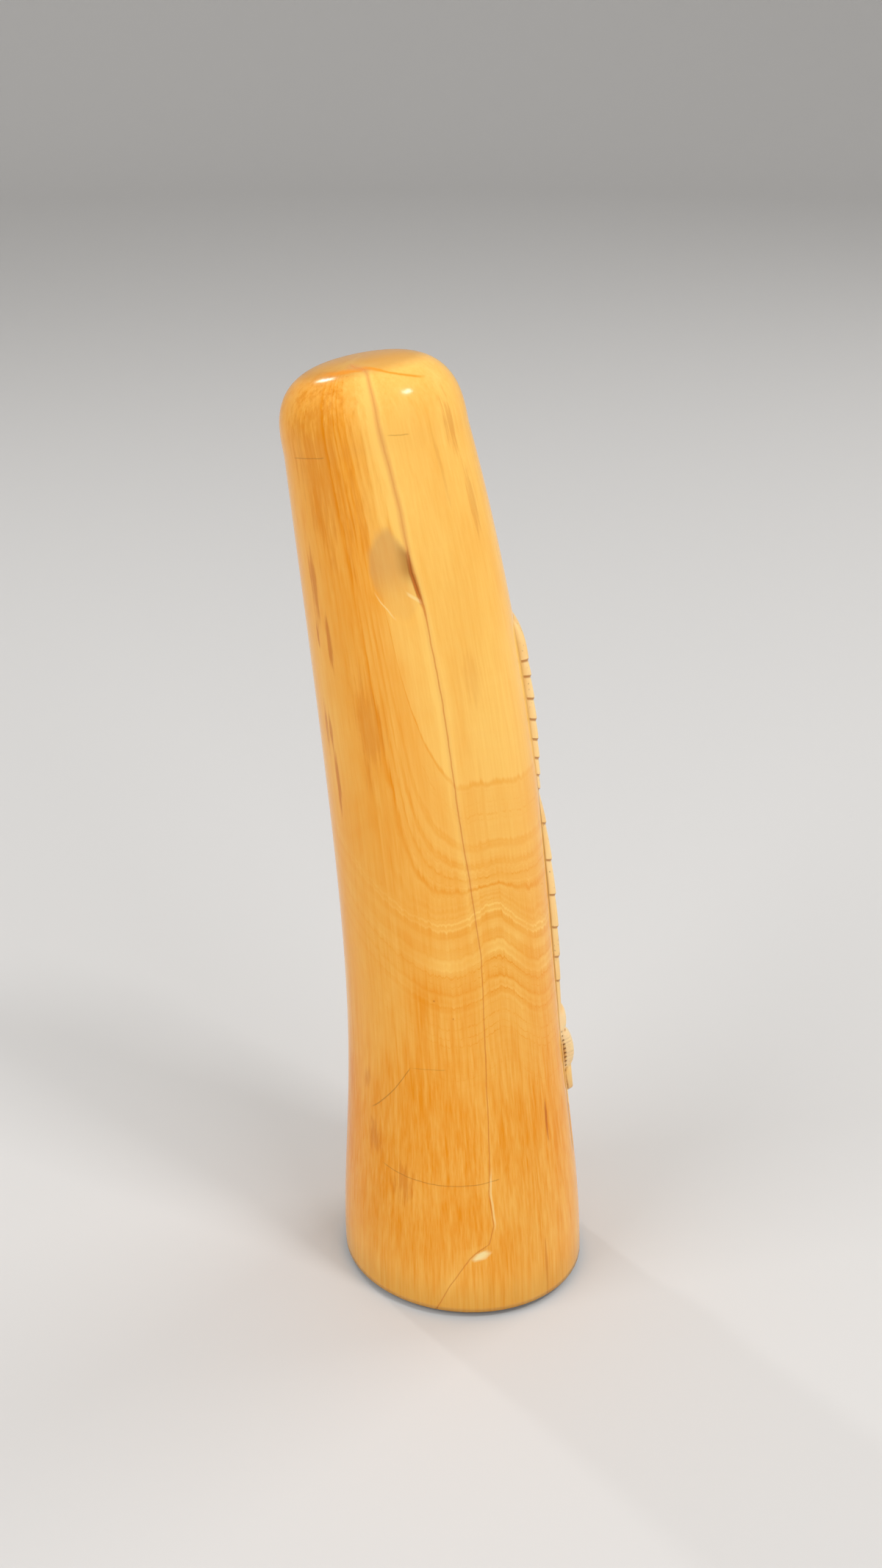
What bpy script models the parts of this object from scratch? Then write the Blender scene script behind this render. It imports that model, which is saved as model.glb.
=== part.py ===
"""A section of ivory tusk, polished at the back and carved at the front with a perched owl in low relief.

The tusk stands on its sawn-flat underside at z = 0, with the carving facing -Y and the tip leaning to +X.
A place on it is given by an angle in degrees, 0 at the middle of the carved front and positive towards -X,
and a level in metres along the tusk's axis. Every length is in metres.
"""

import math

import bmesh
import bpy
import numpy as np

# The tusk
HEIGHT = 0.372
BASE_WIDTH = 0.100
WAIST_WIDTH = 0.0827
DEPTH_SHARE = 0.912
FLARE_LEVEL = 0.0862
TOP_NARROWING = 0.0216
NARROWING_POWER = 3.8
TOP_TILT = 0.0101
TOP_BEND = 0.0306
BEND_POWER = 2.47
LEVEL_BASE = 0.045
CROWN_HEIGHT = 0.028
CROWN_POWER = 2.88

# The carved panel, whose foot rises towards its edges
PANEL_ANGLE = 76.0
PANEL_BEVEL = 5.5
PANEL_FOOT = 0.054
FOOT_RISE = 0.021
FOOT_BEND = 3.0
FOOT_FADE = 0.004

# The wing's shoulder, which rises from the panel's edge towards the head
WING_TOP = 0.2737
SHOULDER_RISE = 0.0100
SHOULDER_BEND = 1.3
SHOULDER_ROUND = 0.0115
SHOULDER_POWER = 1.4
SHOULDER_END = 0.300
SHOULDER_NOTCH = 0.2597

# The two tiers of wing feathers, from the shoulder down
COVERT_FIRST = 0.2541
COVERT_LAST = 0.2110
COVERT_COURSES = 7
COVERT_ANGLE = 10.0
COVERT_SCALLOP = 0.0034
COVERT_SHOULDER = 0.0030
COVERT_TAIL = 0.0006
COVERT_FALL = 2.2
FLIGHT_TOP = 0.2087
FLIGHT_FIRST = 0.1972
FLIGHT_LAST = 0.1307
FLIGHT_COURSES = 6
FLIGHT_ANGLE = 10.0
FLIGHT_SCALLOP = 0.0048
FLIGHT_THICKNESS = 0.0026
FLIGHT_FALL = 0.0011
LEG_SHARE = 0.45
COURSE_CROWDING = 1.15
FEATHER_STEP = 0.0012
STEP_POWER = 1.5
FEATHER_CROWN = 0.0010
FIRST_COURSE = 0.012
RUN_OUT = 0.012
WING_BODY = 0.0020
BODY_START = 40.0
BODY_END = 60.0

# The feathers lie flatter on the flank, and the courses drop towards the front
FLANK_START = 50.0
FLANK_END = 62.0
FLANK_STEP = 0.0005
COURSE_DROP = 0.012
DROP_POWER = 0.7
DROP_FOOT = 0.082
DROP_LOW = 0.130
DROP_HIGH = 0.245

# The breast
WING_EDGE = 36.0
WING_EDGE_TUCK = 8.0
TUCK_SPREAD = 0.022
BREAST_ANGLE = 9.0
BREAST_SCALLOP = 0.0034
BREAST_STEP = 0.0011
BREAST_CROWN = 0.0007
BREAST_THICKNESS = 0.0056
BREAST_LEVEL = 0.210
BREAST_SPREAD = 0.100
BREAST_FALL = 0.62
BREAST_FADE = 0.020
THROAT_SPACING = 0.0074
LEG_COURSES = 2
LEG_SPACING = 0.0062

# The head, with a valley round it
HEAD_LEVEL = 0.2985
HEAD_HALF_WIDTH = 0.0270
HEAD_CROWN = 0.0270
HEAD_CHIN = 0.0320
HEAD_SQUARENESS = 2.3
HEAD_THICKNESS = 0.0078
HEAD_EDGE = 0.0020
HEAD_EDGE_ROUND = 0.06
HEAD_POWER = 0.65
NECK_SHARE = 0.55
NECK_WIDTH = 0.13
DISC_OFFSET = 0.0112
DISC_RISE = 0.001
DISC_RADIUS = 0.0125
DISC_HOLLOW = 0.0024
DISC_RIM = 0.0011
DISC_RIM_WIDTH = 0.14
EYE_RADIUS = 0.0046
EYE_HEIGHT = 0.0024
BEAK_TOP = 0.004
BEAK_LENGTH = 0.0150
BEAK_WIDTH = 0.0066
BEAK_TAPER = 0.75
BEAK_BEND = 1.5
BEAK_ROUND = 0.6
BEAK_START = 0.25
BEAK_HEIGHT = 0.0034
BROW_START = 0.0045
BROW_RISE = 0.024
BROW_BEND = 0.8
BROW_REACH = 0.025
BROW_HEIGHT = 0.0022
BROW_WIDTH = 0.0032
BROW_LOW = 0.6
BROW_GAIN = 1.2
BROW_FADE = 0.7
FACE_FADE = 0.25
TUFT_SIDE = 0.0120
TUFT_RISE = 0.0150
TUFT_LEAN = 30.0
TUFT_LENGTH = 0.0240
TUFT_WIDTH = 0.0088
TUFT_TAPER = 0.6
TUFT_HEIGHT = 0.0066
TUFT_TIP = 0.0026

# The perch, the feet and the tail
PERCH_LEVEL = 0.0985
PERCH_HALF = 0.0090
PERCH_THICKNESS = 0.0046
PERCH_WAVE = 0.0012
PERCH_WAVES = 5.0
PERCH_THINNING = 0.55
THIN_START = 40.0
THIN_END = 66.0
FEET_REACH = 0.022
KNOT_ANGLE = 68.0
KNOT_LEVEL = 0.0965
KNOT_RADIUS = 0.0085
KNOT_HEIGHT = 0.0022
BUD_LEVEL = 0.1110
BUD_RADIUS = 0.0060
BUD_HEIGHT = 0.0024
FOOT_OFFSET = 0.0115
FOOT_TOP = 0.1135
TOE_SPACING = 0.0050
TOE_SPREAD = 0.45
TOE_WIDTH = 0.0044
TOE_LENGTH = 0.0215
TOE_HEIGHT = 0.0028
TOE_JOINTS = 3.0
JOINT_DEPTH = 0.14
CLAW_START = 0.62
CLAW_NARROWING = 0.72
TOE_RISE = 6.0
TAIL_END = 0.0600
TAIL_ANGLE = 18.0
TAIL_NARROWING = 0.2
TAIL_CURVE = 0.006
TAIL_NOTCH = 0.0015
TAIL_THICKNESS = 0.0028
TAIL_CROWN = 0.3
EDGE_ANGLE = 1.2
EDGE_RUN = 0.0006
HOLLOW_DEPTH = 0.0012
HOLLOW_FADE = 0.012
HOLLOW_LOW = 0.084
HOLLOW_HIGH = 0.092
LEAF_TOP = 0.0930
LEAF_ANGLES = (31.0, 48.5, 66.0)
LEAF_LENGTHS = (0.025, 0.030, 0.0165)
LEAF_HALF_ANGLE = 8.6
LEAF_SHOULDER = 0.7
LEAF_THICKNESS = 0.0026
LEAF_CREASE = 0.0010
CREASE_WIDTH = 0.18
LEAF_MARGIN = 3.0

# How finely the surface is divided
LIP = 0.0009
TAIL_ROWS = 4
TAIL_EDGE = 0.003
HOLLOW_START = 0.007
PERCH_GAP = 0.001
PLAIN_ANGLE = 12.0
BACK_COLUMNS = 7
FACE_ANGLE = 3.0
FACE_EDGE = 45.0
FACE_SIDES = (50.0, 62.0)
TOE_ANGLE = 3.0
TOES_EDGE = 25.0
LEAF_COLUMN_ANGLE = 4.375
MARGIN = 0.3
FOOT_ROWS = 4
HOLLOW_ROWS = 6
PERCH_ROWS = 8
HEAD_ROWS = 22
CROWN_ROWS = 7
SHOULDER_ROWS = (-0.0035, -0.0008, 0.0004)
HEAD_ZONE_START = 0.003
HEAD_ZONE_END = 0.008

IVORY_COLOUR = (0.80, 0.43, 0.12, 1.0)
IVORY_ROUGHNESS = 0.28
SHARP_ANGLE = 50.0


def ease(low, high, value):
    """0 below low, 1 above high, and a smooth rise between."""
    share = np.clip((value - low) / (high - low), 0.0, 1.0)
    return share * share * (3.0 - 2.0 * share)


def bell(distance, spread):
    return np.exp(-((distance / spread) ** 2))


def mound(distance):
    """A round mound: 1 at distance 0 and 0 from distance 1."""
    return np.sqrt(np.clip(1.0 - distance * distance, 0.0, 1.0))


def crown_start():
    return HEIGHT - CROWN_HEIGHT


def axis_offset(level):
    share = level / HEIGHT
    return TOP_TILT * share + TOP_BEND * share**BEND_POWER


def axis_slope(level):
    return (TOP_TILT + TOP_BEND * BEND_POWER * (level / HEIGHT) ** (BEND_POWER - 1.0)) / HEIGHT


def tusk_radius(level):
    """Half the plain tusk's width at a level, with its flared foot and its rounded top."""
    below = np.minimum(level, crown_start())
    radius = WAIST_WIDTH / 2 - TOP_NARROWING / 2 * (below / HEIGHT) ** NARROWING_POWER
    radius += (BASE_WIDTH - WAIST_WIDTH) / 2 * bell(below, FLARE_LEVEL)
    rise = np.clip((level - crown_start()) / CROWN_HEIGHT, 0.0, 1.0)
    return radius * (1.0 - rise**CROWN_POWER) ** (1.0 / CROWN_POWER)


def surface_points(levels, angles, heights):
    """Points of the surface with its relief. Points of one level make a ring square to the axis."""
    starts = np.minimum(levels, crown_start())
    slope = axis_slope(starts) * ease(0.0, LEVEL_BASE, starts)
    centre = axis_offset(starts) + slope * (levels - starts)
    stretch = np.hypot(1.0, slope)
    along = np.sin(np.radians(angles))
    across = np.cos(np.radians(angles))
    radius = tusk_radius(levels)
    slant = np.hypot(DEPTH_SHARE * along, across)
    side = radius * along + heights * DEPTH_SHARE * along / slant
    front = DEPTH_SHARE * radius * across + heights * across / slant
    return np.stack([centre - side / stretch, -front, levels + side * slope / stretch], axis=-1)


def courses(first, last, count):
    """The levels of the lower edges of one tier's courses, closer together towards the last."""
    left = np.linspace(1.0, 0.0, count) ** COURSE_CROWDING
    return list(last + (first - last) * left)


def wing_edges():
    coverts = [SHOULDER_NOTCH] + courses(COVERT_FIRST, COVERT_LAST, COVERT_COURSES)
    return coverts, courses(FLIGHT_FIRST, FLIGHT_LAST, FLIGHT_COURSES)


def breast_edges():
    """The breast has one course beside each short course of the wing, and two beside each long one."""
    coverts, flights = wing_edges()
    long_edges = [coverts[-1]] + flights
    between = [(high + low) / 2 for high, low in zip(long_edges, long_edges[1:])]
    legs = [flights[-1] - LEG_SPACING * count for count in range(1, LEG_COURSES + 1)]
    return sorted([coverts[0] + THROAT_SPACING] + coverts + flights + between + legs, reverse=True)


def wing_courses():
    """Each course of the wing: its lower edge, the width of its feathers, and their scallop's depth."""
    coverts, flights = wing_edges()
    small = [(edge, COVERT_ANGLE, COVERT_SCALLOP) for edge in coverts]
    return small + [(edge, FLIGHT_ANGLE, FLIGHT_SCALLOP) for edge in flights]


def breast_courses():
    return [(edge, BREAST_ANGLE, BREAST_SCALLOP) for edge in breast_edges()]


WING = wing_courses()
BREAST = breast_courses()


def place_in_course(level, tier):
    """The course that a level is in, counted down from 0, and how far down it, from 0 to 1."""
    edges = [edge for edge, _, _ in tier]
    tops = [edges[0] + FIRST_COURSE] + edges
    for number, (high, low) in enumerate(zip(tops, edges + [edges[-1] - RUN_OUT])):
        if level > low:
            return number, min(max((high - level) / (high - low), 0.0), 1.0)
    return len(edges), 1.0


def across_feather(spots, width, number):
    """Where each spot lies across its feather, from -1 to 1. Every other course is shifted by half."""
    return 2.0 * np.mod(spots / width + 0.5 * (number % 2), 1.0) - 1.0


def edge_rise(spots, tier, number):
    """How much one course's lower edge rises between the tips of its feathers."""
    if not 0 <= number < len(tier):
        return np.zeros_like(spots)
    _, width, depth = tier[number]
    return depth * across_feather(spots, width, number) ** 2


def scallop(level, spots, tier):
    """How much a row rises between the feathers' tips, so that rows of faces follow the scalloped edges."""
    number, share = place_in_course(level, tier)
    return (1.0 - share) * edge_rise(spots, tier, number - 1) + share * edge_rise(spots, tier, number)


def wing_edge_angle(level):
    return WING_EDGE - WING_EDGE_TUCK * bell(level - WING_TOP, TUCK_SPREAD)


def surface_angles(level, spots):
    """The angles of spots, which count evenly across the carving, so that columns follow the wing."""
    edge = wing_edge_angle(level)
    inner = spots * edge / WING_EDGE
    outer = edge + (spots - WING_EDGE) * (PANEL_ANGLE - edge) / (PANEL_ANGLE - WING_EDGE)
    return np.where(spots < WING_EDGE, inner, np.where(spots < PANEL_ANGLE, outer, spots))


def flank(spots):
    """0 on the front of the wing, and 1 near the panel's edge."""
    return ease(FLANK_START, FLANK_END, spots)


def row_shift(level, spots):
    """How far the points of a row move along the tusk, to follow the feathers and the shoulder."""
    inside = np.clip((PANEL_ANGLE - spots) / PANEL_ANGLE, 0.0, 1.0)
    dropping = float(ease(DROP_FOOT, DROP_LOW, level) * (1.0 - ease(DROP_HIGH, WING_TOP, level)))
    rising = float(ease(COVERT_FIRST, WING_TOP, level) * (1.0 - ease(WING_TOP, SHOULDER_END, level)))
    shift = SHOULDER_RISE * inside**SHOULDER_BEND * rising
    shift -= COURSE_DROP * inside**DROP_POWER * dropping
    wing = scallop(level, spots - WING_EDGE, WING) * (1.0 - flank(spots))
    return np.where(spots < WING_EDGE, scallop(level, spots, BREAST), wing * (spots < PANEL_ANGLE)) + shift


def shoulder(level, top, span):
    """The round of a shoulder: 0 at its top and 1 from a span below it."""
    return mound(np.clip((level - top + span) / span, 0.0, 1.0)) ** SHOULDER_POWER


def wing_thickness(level):
    """How far the wing's outer edge stands over the tusk, at the tips of its feathers."""
    if level > COVERT_LAST:
        fallen = max((SHOULDER_NOTCH - level) / (SHOULDER_NOTCH - COVERT_LAST), 0.0)
        return COVERT_SHOULDER - (COVERT_SHOULDER - COVERT_TAIL) * fallen**COVERT_FALL
    if level > FLIGHT_LAST:
        middle = (FLIGHT_FIRST + FLIGHT_LAST) / 2
        bow = FLIGHT_THICKNESS - FLIGHT_FALL * ((level - middle) / (FLIGHT_FIRST - middle)) ** 2
        return bow * float(shoulder(level, FLIGHT_TOP, FLIGHT_TOP - FLIGHT_FIRST))
    return FLIGHT_THICKNESS * LEG_SHARE * float(ease(PERCH_LEVEL, FLIGHT_LAST, level))


def wing_relief(level, spots):
    number, share = place_in_course(level, WING)
    _, width, _ = WING[min(number, len(WING) - 1)]
    stepped = number not in (0, COVERT_COURSES + 1, len(WING))
    step = (FEATHER_STEP + (FLANK_STEP - FEATHER_STEP) * flank(spots)) * stepped
    stood = np.maximum(wing_thickness(level) - step * (1.0 - share) ** STEP_POWER, 0.0)
    across = across_feather(spots - WING_EDGE, width, number)
    crown = FEATHER_CROWN * (1.0 - across**2) * share * (1.0 - flank(spots))
    body = WING_BODY * (1.0 - ease(BODY_START, BODY_END, spots))
    body *= float(ease(PERCH_LEVEL, FLIGHT_LAST, level))
    rounding = 1.0 - (1.0 - np.clip((PANEL_ANGLE - spots) / PANEL_BEVEL, 0.0, 1.0)) ** 2
    return (stood + crown) * rounding + body


def breast_relief(level, spots):
    number, share = place_in_course(level, BREAST)
    across = across_feather(spots, BREAST_ANGLE, number)
    swell = BREAST_THICKNESS * bell(level - BREAST_LEVEL, BREAST_SPREAD)
    swell *= 1.0 - BREAST_FALL * (spots / WING_EDGE) ** 2
    feather = BREAST_CROWN * (1.0 - across**2) * share - BREAST_STEP * (1.0 - share) ** STEP_POWER
    inside = 0 < number < len(BREAST)
    return (swell + feather * inside) * float(ease(PERCH_LEVEL, PERCH_LEVEL + BREAST_FADE, level))


def head_reach(side, rises):
    """0 at the middle of the head and 1 at its outline."""
    half_height = np.where(rises > 0.0, HEAD_CROWN, HEAD_CHIN)
    total = (side / HEAD_HALF_WIDTH) ** HEAD_SQUARENESS + (np.abs(rises) / half_height) ** HEAD_SQUARENESS
    return total ** (1.0 / HEAD_SQUARENESS)


def tuft_relief(side, rises):
    """The ear tufts: on each side a tapered ridge from over the brow, up and outwards."""
    lean = math.radians(TUFT_LEAN)
    along = (side - TUFT_SIDE) * math.sin(lean) + (rises - TUFT_RISE) * math.cos(lean)
    aside = (side - TUFT_SIDE) * math.cos(lean) - (rises - TUFT_RISE) * math.sin(lean)
    left = np.clip(1.0 - along / TUFT_LENGTH, 0.001, 1.0)
    ridge = mound(aside / (TUFT_WIDTH / 2 * left**TUFT_TAPER))
    return (TUFT_TIP + (TUFT_HEIGHT - TUFT_TIP) * left) * ridge * (along > 0.0) * (left > 0.001)


def brow_distance(side, rises):
    """How far over the brow a place is, counted in the brow's widths."""
    out = np.clip(side / BROW_REACH, 0.0, 1.0)
    return (rises - BROW_START - BROW_RISE * out**BROW_BEND) / BROW_WIDTH


def head_relief(side, rises):
    """The head over its own middle: so far to the side, and so far up along the tusk."""
    reach = head_reach(side, rises)
    skull = HEAD_EDGE * ease(0.0, HEAD_EDGE_ROUND, 1.0 - reach)
    skull += (HEAD_THICKNESS - HEAD_EDGE) * np.clip(1.0 - reach**2, 0.0, 1.0) ** HEAD_POWER
    from_eye = np.hypot(side - DISC_OFFSET, rises - DISC_RISE) / DISC_RADIUS
    dish = DISC_RIM * bell(from_eye - 1.0, DISC_RIM_WIDTH)
    dish -= DISC_HOLLOW * np.clip(1.0 - from_eye**2, 0.0, 1.0)
    eye = EYE_HEIGHT * mound(from_eye * DISC_RADIUS / EYE_RADIUS)
    down = np.clip((BEAK_TOP - rises) / BEAK_LENGTH, 0.0, 1.0)
    half = BEAK_WIDTH / 2 * (1.0 - BEAK_TAPER * down**BEAK_BEND)
    beak = BEAK_HEIGHT * np.clip(1.0 - side / half, 0.0, 1.0) ** BEAK_ROUND
    beak *= ease(0.0, BEAK_START, down) * (down < 1.0)
    out = side / BROW_REACH
    brow = BROW_HEIGHT * bell(brow_distance(side, rises), 1.0) * (BROW_LOW + BROW_GAIN * out)
    brow *= 1.0 - ease(BROW_FADE, 1.0, out)
    face = (dish + eye) * ease(0.0, FACE_FADE, 1.0 - reach)
    return np.maximum(skull + (face + beak + brow) * (reach < 1.0), tuft_relief(side, rises))


def perch_relief(level, angles):
    """The branch across the foot of the panel, with a knot and a bud at each end."""
    middle = PERCH_LEVEL + PERCH_WAVE * np.sin(np.radians(angles) * PERCH_WAVES)
    bough = PERCH_THICKNESS * mound((level - middle) / PERCH_HALF)
    bough *= 1.0 - PERCH_THINNING * ease(THIN_START, THIN_END, angles)
    to_side = np.radians(angles - KNOT_ANGLE) * WAIST_WIDTH / 2
    knot = KNOT_HEIGHT * mound(np.hypot(to_side, level - KNOT_LEVEL) / KNOT_RADIUS)
    bud = BUD_HEIGHT * mound(np.hypot(to_side, level - BUD_LEVEL) / BUD_RADIUS)
    rounding = 1.0 - ease(PANEL_ANGLE - PANEL_BEVEL, PANEL_ANGLE, angles)
    return np.maximum(bough + knot, bud) * rounding


def feet_relief(level, side):
    """Two feet of three jointed toes with claws, which come over the perch from above."""
    down = (FOOT_TOP - level) / TOE_LENGTH
    if not 0.0 < down < 1.0:
        return np.zeros_like(side)
    half = TOE_WIDTH / 2 * (1.0 - CLAW_NARROWING * float(ease(CLAW_START, 1.0, down)))
    toes = np.zeros_like(side)
    for number in (-1, 0, 1):
        middle = FOOT_OFFSET + number * TOE_SPACING * (1.0 - TOE_SPREAD * (1.0 - down))
        toes = np.maximum(toes, TOE_HEIGHT * mound((side - middle) / half))
    joints = 1.0 - JOINT_DEPTH * (1.0 + math.cos(2.0 * math.pi * TOE_JOINTS * down))
    return toes * joints * min(down * TOE_RISE, 1.0)


def tail_relief(level, angles):
    narrowed = TAIL_NARROWING * (level - TAIL_END) / (PERCH_LEVEL - TAIL_END)
    half = TAIL_ANGLE * (1.0 - narrowed)
    across = across_feather(angles, TAIL_ANGLE / 2, 0)
    end = TAIL_END + TAIL_CURVE * (angles / TAIL_ANGLE) ** 2 + TAIL_NOTCH * across**2
    inside = ease(end - EDGE_RUN, end + EDGE_RUN, level) * (1.0 - ease(half - EDGE_ANGLE, half, angles))
    return TAIL_THICKNESS * inside * (1.0 - TAIL_CROWN * across**2) * (level < PERCH_LEVEL)


def leaf_relief(level, angles):
    """Leaves that hang below the perch on each side, each with a crease down its middle."""
    leaves = np.zeros_like(angles)
    for middle, length in zip(LEAF_ANGLES, LEAF_LENGTHS):
        down = (LEAF_TOP - level) / length
        if not 0.0 < down < 1.0:
            continue
        half = LEAF_HALF_ANGLE * (1.0 - down**3) * min(LEAF_SHOULDER + down, 1.0)
        across = np.clip(np.abs(angles - middle) / half, 0.0, 1.0)
        leaf = LEAF_THICKNESS * (1.0 - across**4) - LEAF_CREASE * bell(across, CREASE_WIDTH)
        leaves = np.maximum(leaves, np.where(across < 1.0, leaf, 0.0))
    return leaves * (1.0 - ease(PANEL_ANGLE - LEAF_MARGIN, PANEL_ANGLE, angles))


def foot_line(spots):
    """The level where the carving ends below."""
    return PANEL_FOOT + FOOT_RISE * np.clip(spots / PANEL_ANGLE, 0.0, 1.0) ** FOOT_BEND


def hollow(levels, spots):
    """How far the ground behind the tail and the leaves is cut back."""
    foot = foot_line(spots)
    deep = ease(foot, foot + HOLLOW_FADE, levels) * (1.0 - ease(HOLLOW_LOW, HOLLOW_HIGH, levels))
    return HOLLOW_DEPTH * deep * (1.0 - ease(THIN_START, PANEL_ANGLE, spots))


def relief(level, spots, angles, levels):
    """The height of the carving over the plain tusk, for one row of the surface."""
    side = np.radians(angles) * tusk_radius(level)
    rises = levels - HEAD_LEVEL
    figure = np.where(spots < WING_EDGE, breast_relief(level, spots), wing_relief(level, spots))
    figure *= float(shoulder(level, WING_TOP, SHOULDER_ROUND))
    figure *= 1.0 - NECK_SHARE * bell(head_reach(side, rises) - 1.0, NECK_WIDTH)
    if level < PERCH_LEVEL + FEET_REACH:
        branch = perch_relief(levels, angles)
        branch = branch + feet_relief(level, side) * (branch > 0.0)
        hanging = np.maximum(tail_relief(level, angles), leaf_relief(level, angles))
        figure = np.maximum(np.maximum(figure, branch), hanging - hollow(levels, spots))
    head = head_relief(side, rises)
    figure = np.where(head > 0.0, np.maximum(figure, head), figure)
    foot = foot_line(spots)
    return figure * (spots < PANEL_ANGLE) * ease(foot, foot + FOOT_FADE, levels)


def feather_levels():
    """A close pair of rows at the lower edge of each course."""
    return sorted(edge + side * LIP / 2 for edge in breast_edges() for side in (-1, 1))


def perch_levels():
    under = PERCH_LEVEL - PERCH_HALF
    low = list(np.linspace(PANEL_FOOT, TAIL_END, TAIL_ROWS)) + [TAIL_END + TAIL_EDGE]
    ground = list(np.linspace(TAIL_END + HOLLOW_START, under - PERCH_GAP, HOLLOW_ROWS))
    bough = list(np.linspace(under + PERCH_GAP / 2, PERCH_LEVEL + PERCH_HALF, PERCH_ROWS))
    return low + ground + bough


def back_spots():
    return list(np.linspace(PANEL_ANGLE + MARGIN, 180.0, BACK_COLUMNS + 1))


def plain_spots():
    return list(np.linspace(0.0, 180.0, round(180.0 / PLAIN_ANGLE) + 1))


def perch_spots():
    toes = list(np.arange(0.0, TOES_EDGE, TOE_ANGLE))
    leaves = list(np.arange(LEAF_ANGLES[0] - LEAF_COLUMN_ANGLE, PANEL_ANGLE - LEAF_MARGIN, LEAF_COLUMN_ANGLE))
    return toes + leaves + [PANEL_ANGLE - MARGIN] + back_spots()


def feather_spots():
    breast = list(np.arange(0.0, WING_EDGE - MARGIN, BREAST_ANGLE / 2)) + [WING_EDGE - MARGIN]
    wing = list(np.arange(WING_EDGE + COVERT_ANGLE / 2, PANEL_ANGLE - PANEL_BEVEL, COVERT_ANGLE / 2))
    edge = [PANEL_ANGLE - PANEL_BEVEL / 2, PANEL_ANGLE - MARGIN]
    return breast + [WING_EDGE + MARGIN] + wing + edge + back_spots()


def head_spots():
    face = list(np.linspace(0.0, FACE_EDGE, round(FACE_EDGE / FACE_ANGLE) + 1))
    return face + list(FACE_SIDES) + [PANEL_ANGLE - MARGIN] + back_spots()


def zones():
    """The levels of the rows from the foot up, and the spots of the columns along each stretch of them."""
    foot = list(np.linspace(0.0, PANEL_FOOT, FOOT_ROWS, endpoint=False))
    shoulders = [WING_TOP + step for step in SHOULDER_ROWS]
    head = list(np.linspace(WING_TOP + HEAD_ZONE_START, crown_start() - HEAD_ZONE_END, HEAD_ROWS))
    turns = np.linspace(0.0, math.pi / 2, CROWN_ROWS, endpoint=False)
    crown = [crown_start() + CROWN_HEIGHT * math.sin(turn) for turn in turns]
    return [
        (foot, plain_spots()),
        (perch_levels(), perch_spots()),
        (feather_levels(), feather_spots()),
        (shoulders + head, head_spots()),
        (crown, plain_spots()),
    ]


def surface_rings():
    """Each ring as the angles of its points, from the middle of the front right round, and the points."""
    rings = []
    for levels_up, half in zones():
        signed = np.array(half + [-spot for spot in half[-2:0:-1]])
        spots = np.abs(signed)
        turns = np.mod(signed, 360.0)
        for level in levels_up:
            angles = surface_angles(level, spots)
            levels = level + row_shift(level, spots)
            heights = relief(level, spots, angles, levels)
            rings.append((turns, surface_points(levels, np.copysign(angles, signed), heights)))
    return rings


def bridge(shape, lower, upper, low_turns, high_turns):
    """Triangles between two rings. Where their columns agree, the two sides mirror each other."""
    count = len(lower)
    if count == len(upper) and np.allclose(low_turns, high_turns):
        for here in range(count):
            there = (here + 1) % count
            if low_turns[here] < 180.0:
                shape.faces.new((lower[here], lower[there], upper[there]))
                shape.faces.new((lower[here], upper[there], upper[here]))
            else:
                shape.faces.new((lower[here], lower[there], upper[here]))
                shape.faces.new((lower[there], upper[there], upper[here]))
        return
    low = high = 0
    while low < len(lower) or high < len(upper):
        next_low = low_turns[low + 1] if low + 1 < len(lower) else 360.0 if low < len(lower) else 720.0
        next_high = high_turns[high + 1] if high + 1 < len(upper) else 360.0 if high < len(upper) else 720.0
        first = lower[low % len(lower)]
        second = upper[high % len(upper)]
        if next_low <= next_high:
            shape.faces.new((first, lower[(low + 1) % len(lower)], second))
            low += 1
        else:
            shape.faces.new((first, upper[(high + 1) % len(upper)], second))
            high += 1


def loft(name, rings):
    """One closed mesh over the rings, with a flat face below and a fan to a point at the top."""
    shape = bmesh.new()
    rows = [[shape.verts.new(point) for point in points] for _, points in rings]
    top = shape.verts.new(surface_points(HEIGHT, 0.0, 0.0))
    for row in range(len(rings) - 1):
        bridge(shape, rows[row], rows[row + 1], rings[row][0], rings[row + 1][0])
    for here in range(len(rows[-1])):
        shape.faces.new((rows[-1][here], rows[-1][(here + 1) % len(rows[-1])], top))
    shape.faces.new(rows[0][::-1])
    bmesh.ops.recalc_face_normals(shape, faces=shape.faces)
    mesh = bpy.data.meshes.new(name)
    shape.to_mesh(mesh)
    shape.free()
    mesh.shade_smooth()
    mesh.set_sharp_from_angle(angle=math.radians(SHARP_ANGLE))
    return mesh


def ivory():
    material = bpy.data.materials.new("ivory")
    material.use_nodes = True
    shader = material.node_tree.nodes["Principled BSDF"]
    shader.inputs["Base Color"].default_value = IVORY_COLOUR
    shader.inputs["Roughness"].default_value = IVORY_ROUGHNESS
    shader.inputs["Metallic"].default_value = 0.0
    return material


def main():
    for item in list(bpy.data.objects):
        bpy.data.objects.remove(item)
    collection = bpy.data.collections.new("carved_ivory_tusk")
    bpy.context.scene.collection.children.link(collection)
    tusk = bpy.data.objects.new("carved_tusk", loft("carved_tusk", surface_rings()))
    tusk.data.materials.append(ivory())
    collection.objects.link(tusk)


main()
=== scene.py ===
"""Looks of the carved ivory tusk: polished ivory at the back, and a perched owl in low relief at the front.

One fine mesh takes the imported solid's place, with the same form and what is too small for the solid. Fields
for each point, such as the distance from the crack, place the colours and the finest relief in its material.

A place on the tusk is a turn in degrees, 0 at the middle of the carved front, 90 at -X and 180 at the middle
of the polished back, and a level in metres along the axis. Every length is in metres.
"""

import math
import types

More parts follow.
